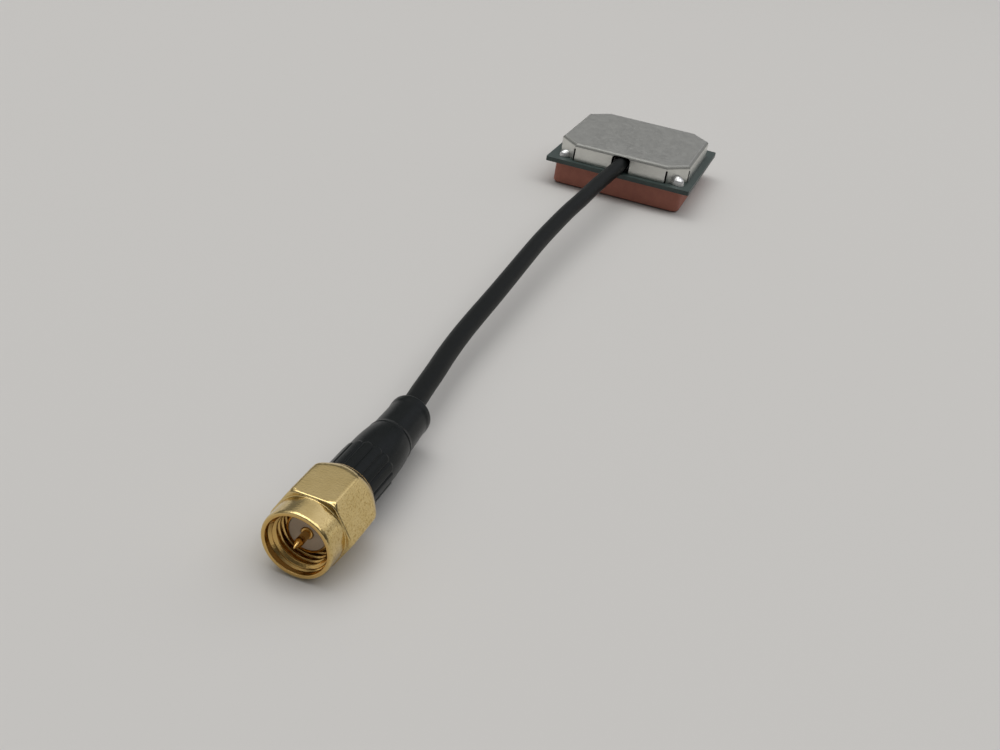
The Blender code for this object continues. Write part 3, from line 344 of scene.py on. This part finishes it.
def make_cable(finish):
    """The lead's jacket, and the place where it leaves the can."""
    can_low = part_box("shield_can")[0]
    low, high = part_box("coax_cable")
    height = can_low.z + CABLE_RADIUS
    boot_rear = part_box("strain_relief_boot")[1].y
    in_boot = [
        Vector((PLUG_X + lead_lean((y - MOUTH_Y) / MM) * MM, y, AXIS_HEIGHT))
        for y in np.linspace(boot_rear, low.y, CABLE_POINTS_IN_BOOT)
    ]
    route = [
        Vector((CABLE_EXIT_X, high.y, height)),
        Vector((CABLE_EXIT_X, can_low.y, height)),
        *[Vector(point) for point in CABLE_ROUTE],
        *in_boot,
    ]
    points = smooth_curve(route, CABLE_STEPS)
    data = bpy.data.curves.new("coax_jacket", "CURVE")
    data.dimensions = "3D"
    data.bevel_depth = CABLE_RADIUS
    data.bevel_resolution = CABLE_ROUND_STEPS
    data.use_fill_caps = True
    spline = data.splines.new("POLY")
    spline.points.add(len(points) - 1)
    for spot, point in zip(spline.points, points):
        spot.co = (*point, 1.0)
    spline.use_smooth = True
    data.materials.append(finish)
    cable = bpy.data.objects.new("coax_jacket", data)
    bpy.context.scene.collection.objects.link(cable)
    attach(cable, "antenna")
    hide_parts("coax_cable")
    return cable, (CABLE_EXIT_X, can_low.y, height)


def new_material(name, colour, roughness, metallic=0.0, specular=PLAIN_SPECULAR):
    """A Principled material and the parts of its node tree that a finish builds on."""
    made = bpy.data.materials.new(name)
    made.use_nodes = True
    tree = made.node_tree
    shader = tree.nodes["Principled BSDF"]
    shader.inputs["Base Color"].default_value = (*colour, 1.0)
    shader.inputs["Roughness"].default_value = roughness
    shader.inputs["Metallic"].default_value = metallic
    shader.inputs["Specular IOR Level"].default_value = specular
    return made, tree, shader


def noise(tree, scale, detail=4.0):
    """The value of a noise in the piece's own coordinates, in features per metre."""
    coordinates = tree.nodes.new("ShaderNodeTexCoord")
    texture = tree.nodes.new("ShaderNodeTexNoise")
    texture.inputs["Scale"].default_value = scale
    texture.inputs["Detail"].default_value = detail
    texture.inputs["Roughness"].default_value = NOISE_ROUGHNESS
    tree.links.new(coordinates.outputs["Object"], texture.inputs["Vector"])
    return texture.outputs["Fac"]


def remap(tree, value, low, high, from_low=0.3, from_high=0.7):
    """A value brought from one span to another and kept in it. The default span suits a noise."""
    node = tree.nodes.new("ShaderNodeMapRange")
    node.inputs["From Min"].default_value = from_low
    node.inputs["From Max"].default_value = from_high
    node.inputs["To Min"].default_value = low
    node.inputs["To Max"].default_value = high
    tree.links.new(value, node.inputs["Value"])
    return node.outputs["Result"]


def multiply(tree, first, second):
    """The product of two nodes' outputs."""
    node = tree.nodes.new("ShaderNodeMath")
    node.operation = "MULTIPLY"
    tree.links.new(first, node.inputs[0])
    tree.links.new(second, node.inputs[1])
    return node.outputs[0]


def coordinate(tree, axis):
    """A piece's own X, Y or Z."""
    coordinates = tree.nodes.new("ShaderNodeTexCoord")
    split = tree.nodes.new("ShaderNodeSeparateXYZ")
    tree.links.new(coordinates.outputs["Object"], split.inputs[0])
    return split.outputs[axis]


def blend_colours(tree, factor, first, second):
    """A colour between two, each a tuple or another node's output."""
    node = tree.nodes.new("ShaderNodeMix")
    node.data_type = "RGBA"
    for socket, colour in ((node.inputs[6], first), (node.inputs[7], second)):
        if isinstance(colour, tuple):
            socket.default_value = (*colour, 1.0)
        else:
            tree.links.new(colour, socket)
    tree.links.new(factor, node.inputs[0])
    return node.outputs[2]


def bump(tree, shader, height, depth):
    """Gives a shader's normal a relief of so many metres."""
    node = tree.nodes.new("ShaderNodeBump")
    node.inputs["Strength"].default_value = 1.0
    node.inputs["Distance"].default_value = depth
    tree.links.new(height, node.inputs["Height"])
    tree.links.new(node.outputs["Normal"], shader.inputs["Normal"])


def grained(name, light, dark, roughness, grain, depth, metallic):
    """A finish with mottled colour, uneven gloss and a fine grain."""
    specular = SPECULAR.get(name, PLAIN_SPECULAR)
    made, tree, shader = new_material(name, light, roughness, metallic, specular)
    mottle = remap(tree, noise(tree, grain / MOTTLE_WIDTH), 0.0, 1.0)
    tree.links.new(blend_colours(tree, mottle, light, dark), shader.inputs["Base Color"])
    fine = noise(tree, grain, detail=6.0)
    gloss = remap(tree, fine, roughness - ROUGHNESS_SPAN / 2, roughness + ROUGHNESS_SPAN / 2)
    tree.links.new(gloss, shader.inputs["Roughness"])
    bump(tree, shader, fine, depth)
    return made


def dull_and_shade_fold(tinplate):
    """Makes the fold round the can's top rougher, and darker with painted shade."""
    tree = tinplate.node_tree
    shader = tree.nodes["Principled BSDF"]
    colour, roughness = shader.inputs["Base Color"], shader.inputs["Roughness"]
    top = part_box("shield_can")[1].z
    height = coordinate(tree, "Z")
    starts = remap(tree, height, 0.0, 1.0, top - FOLD_START[0], top - FOLD_START[1])
    ends = remap(tree, height, 0.0, 1.0, top - FOLD_HEIGHT, top - FOLD_HEIGHT / 2)
    fold = multiply(tree, starts, ends)
    plain = colour.links[0].from_socket
    # Painted shade: the fold's colour is darkened to dim the lamps' highlight along the bend
    tree.links.new(blend_colours(tree, fold, plain, FOLD_SHADE_COLOUR), colour)
    dull = tree.nodes.new("ShaderNodeMath")
    dull.operation = "MULTIPLY_ADD"
    dull.inputs[1].default_value = FOLD_ROUGHNESS
    tree.links.new(fold, dull.inputs[0])
    tree.links.new(roughness.links[0].from_socket, dull.inputs[2])
    tree.links.new(dull.outputs[0], roughness)


def off_axis(tree):
    """How far a point is from the plug's axis, in millimetres."""
    coordinates = tree.nodes.new("ShaderNodeTexCoord")
    shift = tree.nodes.new("ShaderNodeVectorMath")
    shift.operation = "SUBTRACT"
    shift.inputs[1].default_value = (PLUG_X, 0.0, AXIS_HEIGHT)
    flatten = tree.nodes.new("ShaderNodeVectorMath")
    flatten.operation = "MULTIPLY"
    flatten.inputs[1].default_value = (1 / MM, 0.0, 1 / MM)
    length = tree.nodes.new("ShaderNodeVectorMath")
    length.operation = "LENGTH"
    tree.links.new(coordinates.outputs["Object"], shift.inputs[0])
    tree.links.new(shift.outputs["Vector"], flatten.inputs[0])
    tree.links.new(flatten.outputs["Vector"], length.inputs[0])
    return length.outputs["Value"]


def make_gold():
    """Gold plate on turned brass, satin and finely pitted, with painted shade darker and redder in
    the bore.
    """
    made, tree, shader = new_material("gold_plate", GOLD_LIGHT, GOLD_ROUGHNESS[0], 1.0)
    mottle = remap(tree, noise(tree, GOLD_MOTTLE), 0.0, 1.0)
    colour = blend_colours(tree, mottle, GOLD_LIGHT, GOLD_DARK)
    pits = remap(tree, noise(tree, GOLD_PITS, detail=2.0), 0.0, 1.0, *GOLD_PIT_SPAN)
    # The pits are real, but gathering them on the +X side paints shade on the nut's right flat
    pits_and_shade_side = remap(
        tree, coordinate(tree, "X"), GOLD_FEWEST_PITS, 1.0,
        PLUG_X + GOLD_PITS_SHADE_FROM * MM, PLUG_X + GOLD_PITS_SHADE_FULLY * MM,
    )
    colour = blend_colours(tree, multiply(tree, pits, pits_and_shade_side), colour, GOLD_PIT)
    # Painted shade: darker and redder near the axis, over the bore, the pin and the plug body
    bore_shade = remap(tree, off_axis(tree), 0.0, 1.0, *GOLD_BORE_SHADE_RADIUS)
    colour = blend_colours(tree, bore_shade, colour, GOLD_BORE_SHADE)
    tree.links.new(colour, shader.inputs["Base Color"])
    fine = noise(tree, GOLD_GRAIN, detail=3.0)
    tree.links.new(remap(tree, fine, *GOLD_ROUGHNESS), shader.inputs["Roughness"])
    bump(tree, shader, fine, GOLD_GRAIN_DEPTH)
    return made


def make_finishes():
    """One finish for each material slot of the record."""
    made = {row[0]: grained(*row) for row in FINISHES}
    dull_and_shade_fold(made["tinplate"])
    made["gold_plate"] = make_gold()
    return made


def finish_mesh(name, mesh, finish, body, sharp=None):
    """Merges what coincides, turns faces outward, and adds the piece to a body.

    Edges that bend by more than sharp, in degrees, stay crisp.
    """
    bm = bmesh.new()
    bm.from_mesh(mesh)
    bmesh.ops.remove_doubles(bm, verts=bm.verts, dist=1e-8)
    bmesh.ops.recalc_face_normals(bm, faces=bm.faces)
    bm.to_mesh(mesh)
    bm.free()
    mesh.shade_smooth()
    if sharp:
        mesh.set_sharp_from_angle(angle=math.radians(sharp))
    mesh.materials.append(finish)
    obj = bpy.data.objects.new(name, mesh)
    bpy.context.scene.collection.objects.link(obj)
    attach(obj, body)
    return obj


def lathe(name, rows, angles, finish, body, sharp=None):
    """A closed loop of rows turned about the plug's axis.

    A row is a radius and a place along the axis, which may both vary by angle. A third number says
    how far to +X the row lies.
    """
    count = len(angles)
    cosines, sines = np.cos(angles), np.sin(angles)
    places = []
    for radius, along, *lean in rows:
        middle = PLUG_X + sum(lean) * MM
        radius = np.broadcast_to(radius, count) * MM
        along = np.broadcast_to(along, count) * MM
        places.append(np.stack(
            [middle + radius * cosines, MOUTH_Y + along, AXIS_HEIGHT + radius * sines], axis=1
        ))
    corners = np.concatenate(places)
    row = np.arange(len(rows))[:, None] * count
    next_row = np.roll(row, -1, axis=0)
    column = np.arange(count)[None, :]
    next_column = np.roll(column, -1, axis=1)
    quads = np.stack(
        [row + column, row + next_column, next_row + next_column, next_row + column], axis=-1
    ).reshape(-1, 4)
    mesh = bpy.data.meshes.new(name)
    mesh.from_pydata(corners.tolist(), [], quads.tolist())
    return finish_mesh(name, mesh, finish, body, sharp)


def round_angles(count):
    """So many angles, evenly round a circle."""
    return np.linspace(0.0, math.tau, count, endpoint=False)


def quarter(steps):
    """Sines and one-less-cosines of a quarter turn, without its ends."""
    turn = np.linspace(0.0, math.pi / 2, steps + 2)[1:-1]
    return zip(np.sin(turn), 1 - np.cos(turn))


def ease(share):
    """0 to 1 for a share from 0 to 1, level at both ends."""
    return share ** 2 * (3 - 2 * share)


def hexagon_angles():
    """Angles round the nut, close together where two flats meet."""
    fillet = SIXTH / 2 - FLAT_END
    corner = np.linspace(-fillet, fillet, 9)
    flat = np.linspace(fillet, SIXTH - fillet, 37)[1:-1]
    sector = np.concatenate([corner, flat])
    return np.concatenate([sector + SIXTH * i for i in range(6)])


def hexagon_radius(angles):
    """Distance from the axis to the hexagon's side, with filleted ridges at 0, 60 and so on."""
    off_flat = np.abs(np.mod(angles, SIXTH) - SIXTH / 2)
    flat = FLAT_RADIUS / np.cos(off_flat)
    centre = (FLAT_RADIUS - RIDGE_FILLET) / math.cos(SIXTH / 2)
    off_ridge = SIXTH / 2 - off_flat
    under = np.maximum(RIDGE_FILLET ** 2 - (centre * np.sin(off_ridge)) ** 2, 0.0)
    fillet = centre * np.cos(off_ridge) + np.sqrt(under)
    return np.where(off_flat > FLAT_END, fillet, flat)


def lesser(first, second, width):
    """The smaller of two radii, rounded where they cross."""
    near = np.maximum(width - np.abs(first - second), 0.0) / width
    return np.minimum(first, second) - near ** 2 * width / 4


def thread_radius(angles, along):
    """A right-hand 60 degree thread with flattened crests and roots."""
    phase = np.mod(along / THREAD_PITCH + angles / math.tau, 1.0)
    height = THREAD_PITCH * math.sqrt(3) / 2
    tooth = height * np.abs(2 * phase - 1) - height / 4
    return THREAD_MINOR + np.clip(tooth, 0.0, THREAD_MAJOR - THREAD_MINOR)


def nut_outside(hexagon):
    """Rows of the nut from its mouth's edge over collar and hexagon to its rear face."""
    def outer(along):
        front = NUT_FRONT_RADIUS + (along - COLLAR_LENGTH) * NUT_FRONT_SLOPE
        rear = NUT_REAR_RADIUS + (NUT_LENGTH - along) * NUT_REAR_SLOPE
        return lesser(lesser(hexagon, front, NUT_FRONT_CREASE), rear, NUT_REAR_CREASE)

    face = COLLAR_RADIUS - COLLAR_EDGE_DEPTH
    fillet_start = COLLAR_LENGTH - COLLAR_FILLET
    shoulder_inner = COLLAR_RADIUS + COLLAR_FILLET
    shoulder_end = COLLAR_LENGTH + NUT_EDGE
    shoulder = outer(shoulder_end)
    rim_start = NUT_LENGTH - NUT_EDGE
    rim = outer(rim_start)
    on_cones = [
        *np.arange(shoulder_end, FRONT_CONE_END, FRONT_CONE_STEP),
        *np.linspace(FRONT_CONE_END + CONE_MARGIN, REAR_CONE_START - CONE_MARGIN, 5),
        *np.arange(REAR_CONE_START, rim_start, REAR_CONE_STEP),
    ]
    return [
        (MOUTH_RADIUS, MOUTH_EDGE),
        (MOUTH_RADIUS + MOUTH_EDGE / 3, MOUTH_EDGE / 4),
        (MOUTH_RADIUS + MOUTH_EDGE, 0.0),
        (face - FACE_MARGIN, 0.0),
        *[
            (face + COLLAR_EDGE_DEPTH * rise, COLLAR_EDGE_LENGTH * run)
            for rise, run in quarter(9)
        ],
        *[(COLLAR_RADIUS, along) for along in np.linspace(COLLAR_EDGE_LENGTH, fillet_start, 5)],
        *[
            (COLLAR_RADIUS + COLLAR_FILLET * drop, fillet_start + COLLAR_FILLET * rise)
            for rise, drop in quarter(5)
        ],
        *[
            (shoulder_inner + (shoulder - NUT_EDGE - shoulder_inner) * share, COLLAR_LENGTH)
            for share in (0.0, 0.5, 1.0)
        ],
        *[
            (shoulder - NUT_EDGE * (1 - rise), COLLAR_LENGTH + NUT_EDGE * drop)
            for rise, drop in quarter(4)
        ],
        *[(outer(along), along) for along in on_cones],
        (rim, rim_start),
        *[
            (rim - NUT_EDGE * drop, rim_start + NUT_EDGE * rise)
            for rise, drop in quarter(4)
        ],
        (rim - NUT_EDGE, NUT_LENGTH),
    ]


def nut_inside(angles):
    """Rows of the nut from its rear through groove, relief and thread back to its mouth."""
    groove_start, groove_end = RING_GROOVE
    rows = [
        (NUT_BORE + NUT_BORE_EDGE, NUT_LENGTH), (NUT_BORE, NUT_LENGTH - NUT_BORE_EDGE),
        (NUT_BORE, groove_end), (RELIEF_RADIUS, groove_end),
        (RELIEF_RADIUS, groove_start), (NUT_BORE, groove_start),
        (NUT_BORE, RELIEF_END), (RELIEF_RADIUS, RELIEF_END - RELIEF_RAMP),
        (RELIEF_RADIUS, THREAD_END),
    ]
    for along in np.arange(THREAD_END, MOUTH_DEPTH, -THREAD_STEP):
        lead_in = MOUTH_RADIUS - (along - MOUTH_DEPTH)
        rows.append((np.maximum(thread_radius(angles, along), lead_in), along))
    rows += [(MOUTH_RADIUS, along) for along in np.linspace(MOUTH_DEPTH, 2 * MOUTH_EDGE, 5)]
    return rows


def make_nut(finish):
    """The coupling nut: round collar, hexagon cut by two cones, and threaded bore."""
    angles = hexagon_angles()
    rows = nut_outside(hexagon_radius(angles)) + nut_inside(angles)
    nut = lathe("threaded_nut", rows, angles, finish, "nut")
    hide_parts("coupling_nut")
    return nut


def make_plug_body(finish):
    """The outer conductor: sleeve, flange with the ring's groove, rear wall and crimp stem."""
    groove_start, groove_end = BODY_GROOVE
    cut = SLEEVE_EDGE * SLEEVE_EDGE_MIDDLE
    rows = [
        (SLEEVE_INNER, REFERENCE_PLANE),
        (SLEEVE_RADIUS - SLEEVE_EDGE, REFERENCE_PLANE),
        (SLEEVE_RADIUS - cut, REFERENCE_PLANE + cut),
        (SLEEVE_RADIUS, REFERENCE_PLANE + SLEEVE_EDGE),
        (SLEEVE_RADIUS, FLANGE_START), (FLANGE_RADIUS, FLANGE_START),
        (FLANGE_RADIUS, groove_start), (BODY_GROOVE_RADIUS, groove_start),
        (BODY_GROOVE_RADIUS, groove_end), (FLANGE_RADIUS, groove_end),
        (FLANGE_RADIUS, BODY_REAR), (STEM_RADIUS, BODY_REAR),
        (STEM_RADIUS, STEM_END), (STEM_INNER, STEM_END),
        (STEM_INNER, CAVITY_END), (SLEEVE_INNER, CAVITY_END),
    ]
    body = lathe("outer_conductor", rows, round_angles(128), finish, "antenna", sharp=40.0)
    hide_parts("plug_body")
    return body


def make_insulator(finish):
    """The plug's insulator, with a well round the pin and a rounded edge."""
    bore = PIN_RADIUS + PIN_GAP
    edge_centre = INSULATOR_RADIUS - INSULATOR_EDGE
    rows = [
        (bore, REFERENCE_PLANE + PIN_WELL_DEPTH),
        (PIN_WELL_RADIUS, REFERENCE_PLANE + PIN_WELL_DEPTH),
        (PIN_WELL_RADIUS, REFERENCE_PLANE + PIN_WELL_EDGE),
        (PIN_WELL_RADIUS + PIN_WELL_EDGE, REFERENCE_PLANE),
        (edge_centre, REFERENCE_PLANE),
        *[
            (edge_centre + INSULATOR_EDGE * rise, REFERENCE_PLANE + INSULATOR_EDGE * run)
            for rise, run in quarter(5)
        ],
        (INSULATOR_RADIUS, REFERENCE_PLANE + INSULATOR_EDGE),
        (INSULATOR_RADIUS, INSULATOR_REAR),
        (bore, INSULATOR_REAR),
    ]
    piece = lathe("insulator_bead", rows, round_angles(128), finish, "antenna", sharp=40.0)
    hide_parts("plug_insulator")
    return piece


def make_pin(finish):
    """The centre pin: rounded tip, taper, shoulder in the insulator's well, and a hole behind."""
    rear = (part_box("centre_pin")[1].y - MOUTH_Y) / MM
    hole_start = rear - PIN_HOLE_DEPTH
    taper_end = PIN_TIP + PIN_TAPER
    shoulder_start = REFERENCE_PLANE - PIN_SHOULDER_PROUD
    shoulder_end = REFERENCE_PLANE + PIN_WELL_DEPTH - PIN_GAP
    bead_centre = PIN_SHOULDER - PIN_SHOULDER_PROUD
    rows = [
        *[
            (PIN_TIP_RADIUS * math.cos(a), PIN_TIP + PIN_TIP_RADIUS * (1 + math.sin(a)))
            for a in np.radians(np.linspace(-89.0, -22.0, 7))
        ],
        *[(PIN_RADIUS - inset, taper_end + past) for inset, past in PIN_TAPER_END],
        (PIN_RADIUS, shoulder_start), (bead_centre, shoulder_start),
        *[
            (bead_centre + PIN_SHOULDER_PROUD * rise, shoulder_start + PIN_SHOULDER_PROUD * run)
            for rise, run in quarter(6)
        ],
        (PIN_SHOULDER, REFERENCE_PLANE), (PIN_SHOULDER, shoulder_end), (PIN_RADIUS, shoulder_end),
        (PIN_RADIUS, rear), (PIN_HOLE_RADIUS, rear),
        (PIN_HOLE_RADIUS, hole_start), (0.0, hole_start), (0.0, PIN_TIP),
    ]
    pin = lathe("contact_pin", rows, round_angles(64), finish, "antenna", sharp=50.0)
    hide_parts("centre_pin")
    return pin


def rib_height(angles, along):
    """Low grip ribs with rounded ends, one for each sixteenth of the barrel."""
    pitch = math.tau / RIB_COUNT
    offset = (np.mod(angles + pitch / 2, pitch) - pitch / 2) * BOOT_BARREL
    end_centre = RIB_END - RIB_HALF_WIDTH
    reach = np.hypot(offset, max(along - end_centre, 0.0))
    return RIB_HEIGHT * ease(np.clip((RIB_HALF_WIDTH - reach) / RIB_SIDE + 0.5, 0.0, 1.0))


def boot_outside(angles):
    """Rows of the boot from its mouth over barrel, shoulder, ring and neck to its rounded rim."""
    ring_start = BOOT_RING - BOOT_RING_FRONT
    neck_start = BOOT_RING + BOOT_RING_REAR
    ramp_start = BOOT_RIM_START - BOOT_RIM_RAMP
    rows = [(BOOT_MOUTH, BOOT_FRONT)]
    rows += [(BOOT_BARREL - inset, BOOT_FRONT + behind) for inset, behind in BOOT_FRONT_EDGE]
    for along in np.arange(BOOT_BARREL_START, BOOT_BARREL_END, BOOT_BARREL_STEP):
        rows.append((BOOT_BARREL + rib_height(angles, along), along))
    for share in np.linspace(0.0, 1.0, 30):
        drop = (BOOT_BARREL - BOOT_RING_RADIUS) * share ** BOOT_SHOULDER_POWER
        along = BOOT_BARREL_END + (ring_start - BOOT_BARREL_END) * share
        rows.append((BOOT_BARREL - drop, along))
    rows += [(BOOT_RING_RADIUS + proud, BOOT_RING + behind) for behind, proud in BOOT_RING_PROFILE]
    for share in np.linspace(0.0, 1.0, 11):
        radius = BOOT_NECK_FRONT + (BOOT_NECK - BOOT_NECK_FRONT) * share
        rows.append((radius, neck_start + (ramp_start - neck_start) * share))
    for share in np.linspace(0.15, 1.0, 6):
        radius = BOOT_NECK + (BOOT_RIM - BOOT_NECK) * ease(share)
        rows.append((radius, ramp_start + BOOT_RIM_RAMP * share))
    for a in np.radians(np.linspace(0.0, 90.0, 9)):
        inset, before = BOOT_END_ROUND * (1 - math.cos(a)), BOOT_END_ROUND * (1 - math.sin(a))
        rows.append((BOOT_RIM - inset, BOOT_END - before))
    return rows


def make_boot(finish):
    """The moulded boot, which leans a little to one side towards its rear."""
    angles = round_angles(RIB_COUNT * RIB_ANGLES)
    bore = [(BOOT_BORE + out, BOOT_END - before) for out, before in BOOT_BORE_EDGE]
    bore += [
        (BOOT_BORE, along) for along in np.linspace(BOOT_END - BOOT_BORE_START, BOOT_FERRULE_END, 8)
    ]
    ferrule_room = [
        (BOOT_FERRULE_BORE, BOOT_FERRULE_END), (BOOT_FERRULE_BORE, BOOT_MOUTH_END),
        (BOOT_MOUTH, BOOT_MOUTH_END),
    ]
    rows = [(radius, along, boot_lean(along)) for radius, along in boot_outside(angles)]
    rows += [(radius, along, lead_lean(along)) for radius, along in bore]
    rows += [(radius, along, boot_lean(along)) for radius, along in ferrule_room]
    boot = lathe("moulded_boot", rows, angles, finish, "antenna", sharp=60.0)
    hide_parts("strain_relief_boot")
    return boot


def dress_cad_nodes(finishes):
    """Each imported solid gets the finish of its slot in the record."""
    for subpart in frame["record"]["subparts"]:
        node = nodes[subpart["node"]]
        node.data.materials.clear()
        node.data.materials.append(finishes[subpart["material_slot"]])


def make_floor():
    """A wide pale table top."""
    made = new_material("table_top", TABLE_COLOUR, TABLE_ROUGHNESS, specular=TABLE_SPECULAR)[0]
    corners = [
        (x * TABLE_HALF, y * TABLE_HALF, TABLE_LEVEL)
        for x, y in ((-1, -1), (1, -1), (1, 1), (-1, 1))
    ]
    mesh = bpy.data.meshes.new("table_top")
    mesh.from_pydata(corners, [], [(0, 1, 2, 3)])
    mesh.materials.append(made)
    table = bpy.data.objects.new("table_top", mesh)
    bpy.context.scene.collection.objects.link(table)


def along_direction(tree, direction):
    """How far the world's directions point along the given one."""
    coordinates = tree.nodes.new("ShaderNodeTexCoord")
    node = tree.nodes.new("ShaderNodeVectorMath")
    node.operation = "DOT_PRODUCT"
    node.inputs[1].default_value = direction
    tree.links.new(coordinates.outputs["Generated"], node.inputs[0])
    return node.outputs["Value"]


def make_world():
    """A soft room: bright low down and overhead, darker between, and dimmer on one side."""
    world = bpy.data.worlds.new("room")
    bpy.context.scene.world = world
    world.use_nodes = True
    tree = world.node_tree
    background = tree.nodes["Background"]
    ramp = tree.nodes.new("ShaderNodeValToRGB")
    low, high = ramp.color_ramp.elements
    low.position = 0.0
    low.color = (*ROOM_LOW, 1.0)
    high.position = 1.0
    high.color = (*ROOM_HIGH, 1.0)
    for height, level in ROOM_LEVELS:
        ramp.color_ramp.elements.new(height).color = (level, level, level, 1.0)
    tree.links.new(along_direction(tree, (0.0, 0.0, 1.0)), ramp.inputs[0])
    glow = remap(tree, along_direction(tree, WINDOW_DIRECTION), 0.0, 1.0, *WINDOW_SPAN)
    colour = blend_colours(tree, glow, ramp.outputs[0], WINDOW_GLOW)
    tree.links.new(colour, background.inputs["Color"])
    side = remap(tree, along_direction(tree, ROOM_BRIGHT_SIDE), *ROOM_STRENGTHS, *ROOM_SIDE_SPAN)
    tree.links.new(side, background.inputs["Strength"])


def make_panel(name, place, size, power):
    """A rectangular lamp that faces the part."""
    data = bpy.data.lights.new(name, "AREA")
    data.shape = "RECTANGLE"
    data.size, data.size_y = size
    data.energy = power
    lamp = bpy.data.objects.new(name, data)
    lamp.location = place
    direction = Vector(PANEL_TARGET) - Vector(place)
    lamp.rotation_euler = direction.to_track_quat("-Z", "Y").to_euler()
    bpy.context.scene.collection.objects.link(lamp)


place_camera()
finishes = make_finishes()
cable, cable_exit = make_cable(finishes["cable_jacket"])
dress_cad_nodes(finishes)
plug_pieces = [
    make_nut(finishes["gold_plate"]),
    make_plug_body(finishes["gold_plate"]),
    make_insulator(finishes["plug_insulator"]),
    make_pin(finishes["gold_plate"]),
    make_boot(finishes["boot_rubber"]),
]
make_floor()
make_world()
for panel in PANELS:
    make_panel(*panel)

bpy.context.scene.view_settings.view_transform = "Standard"
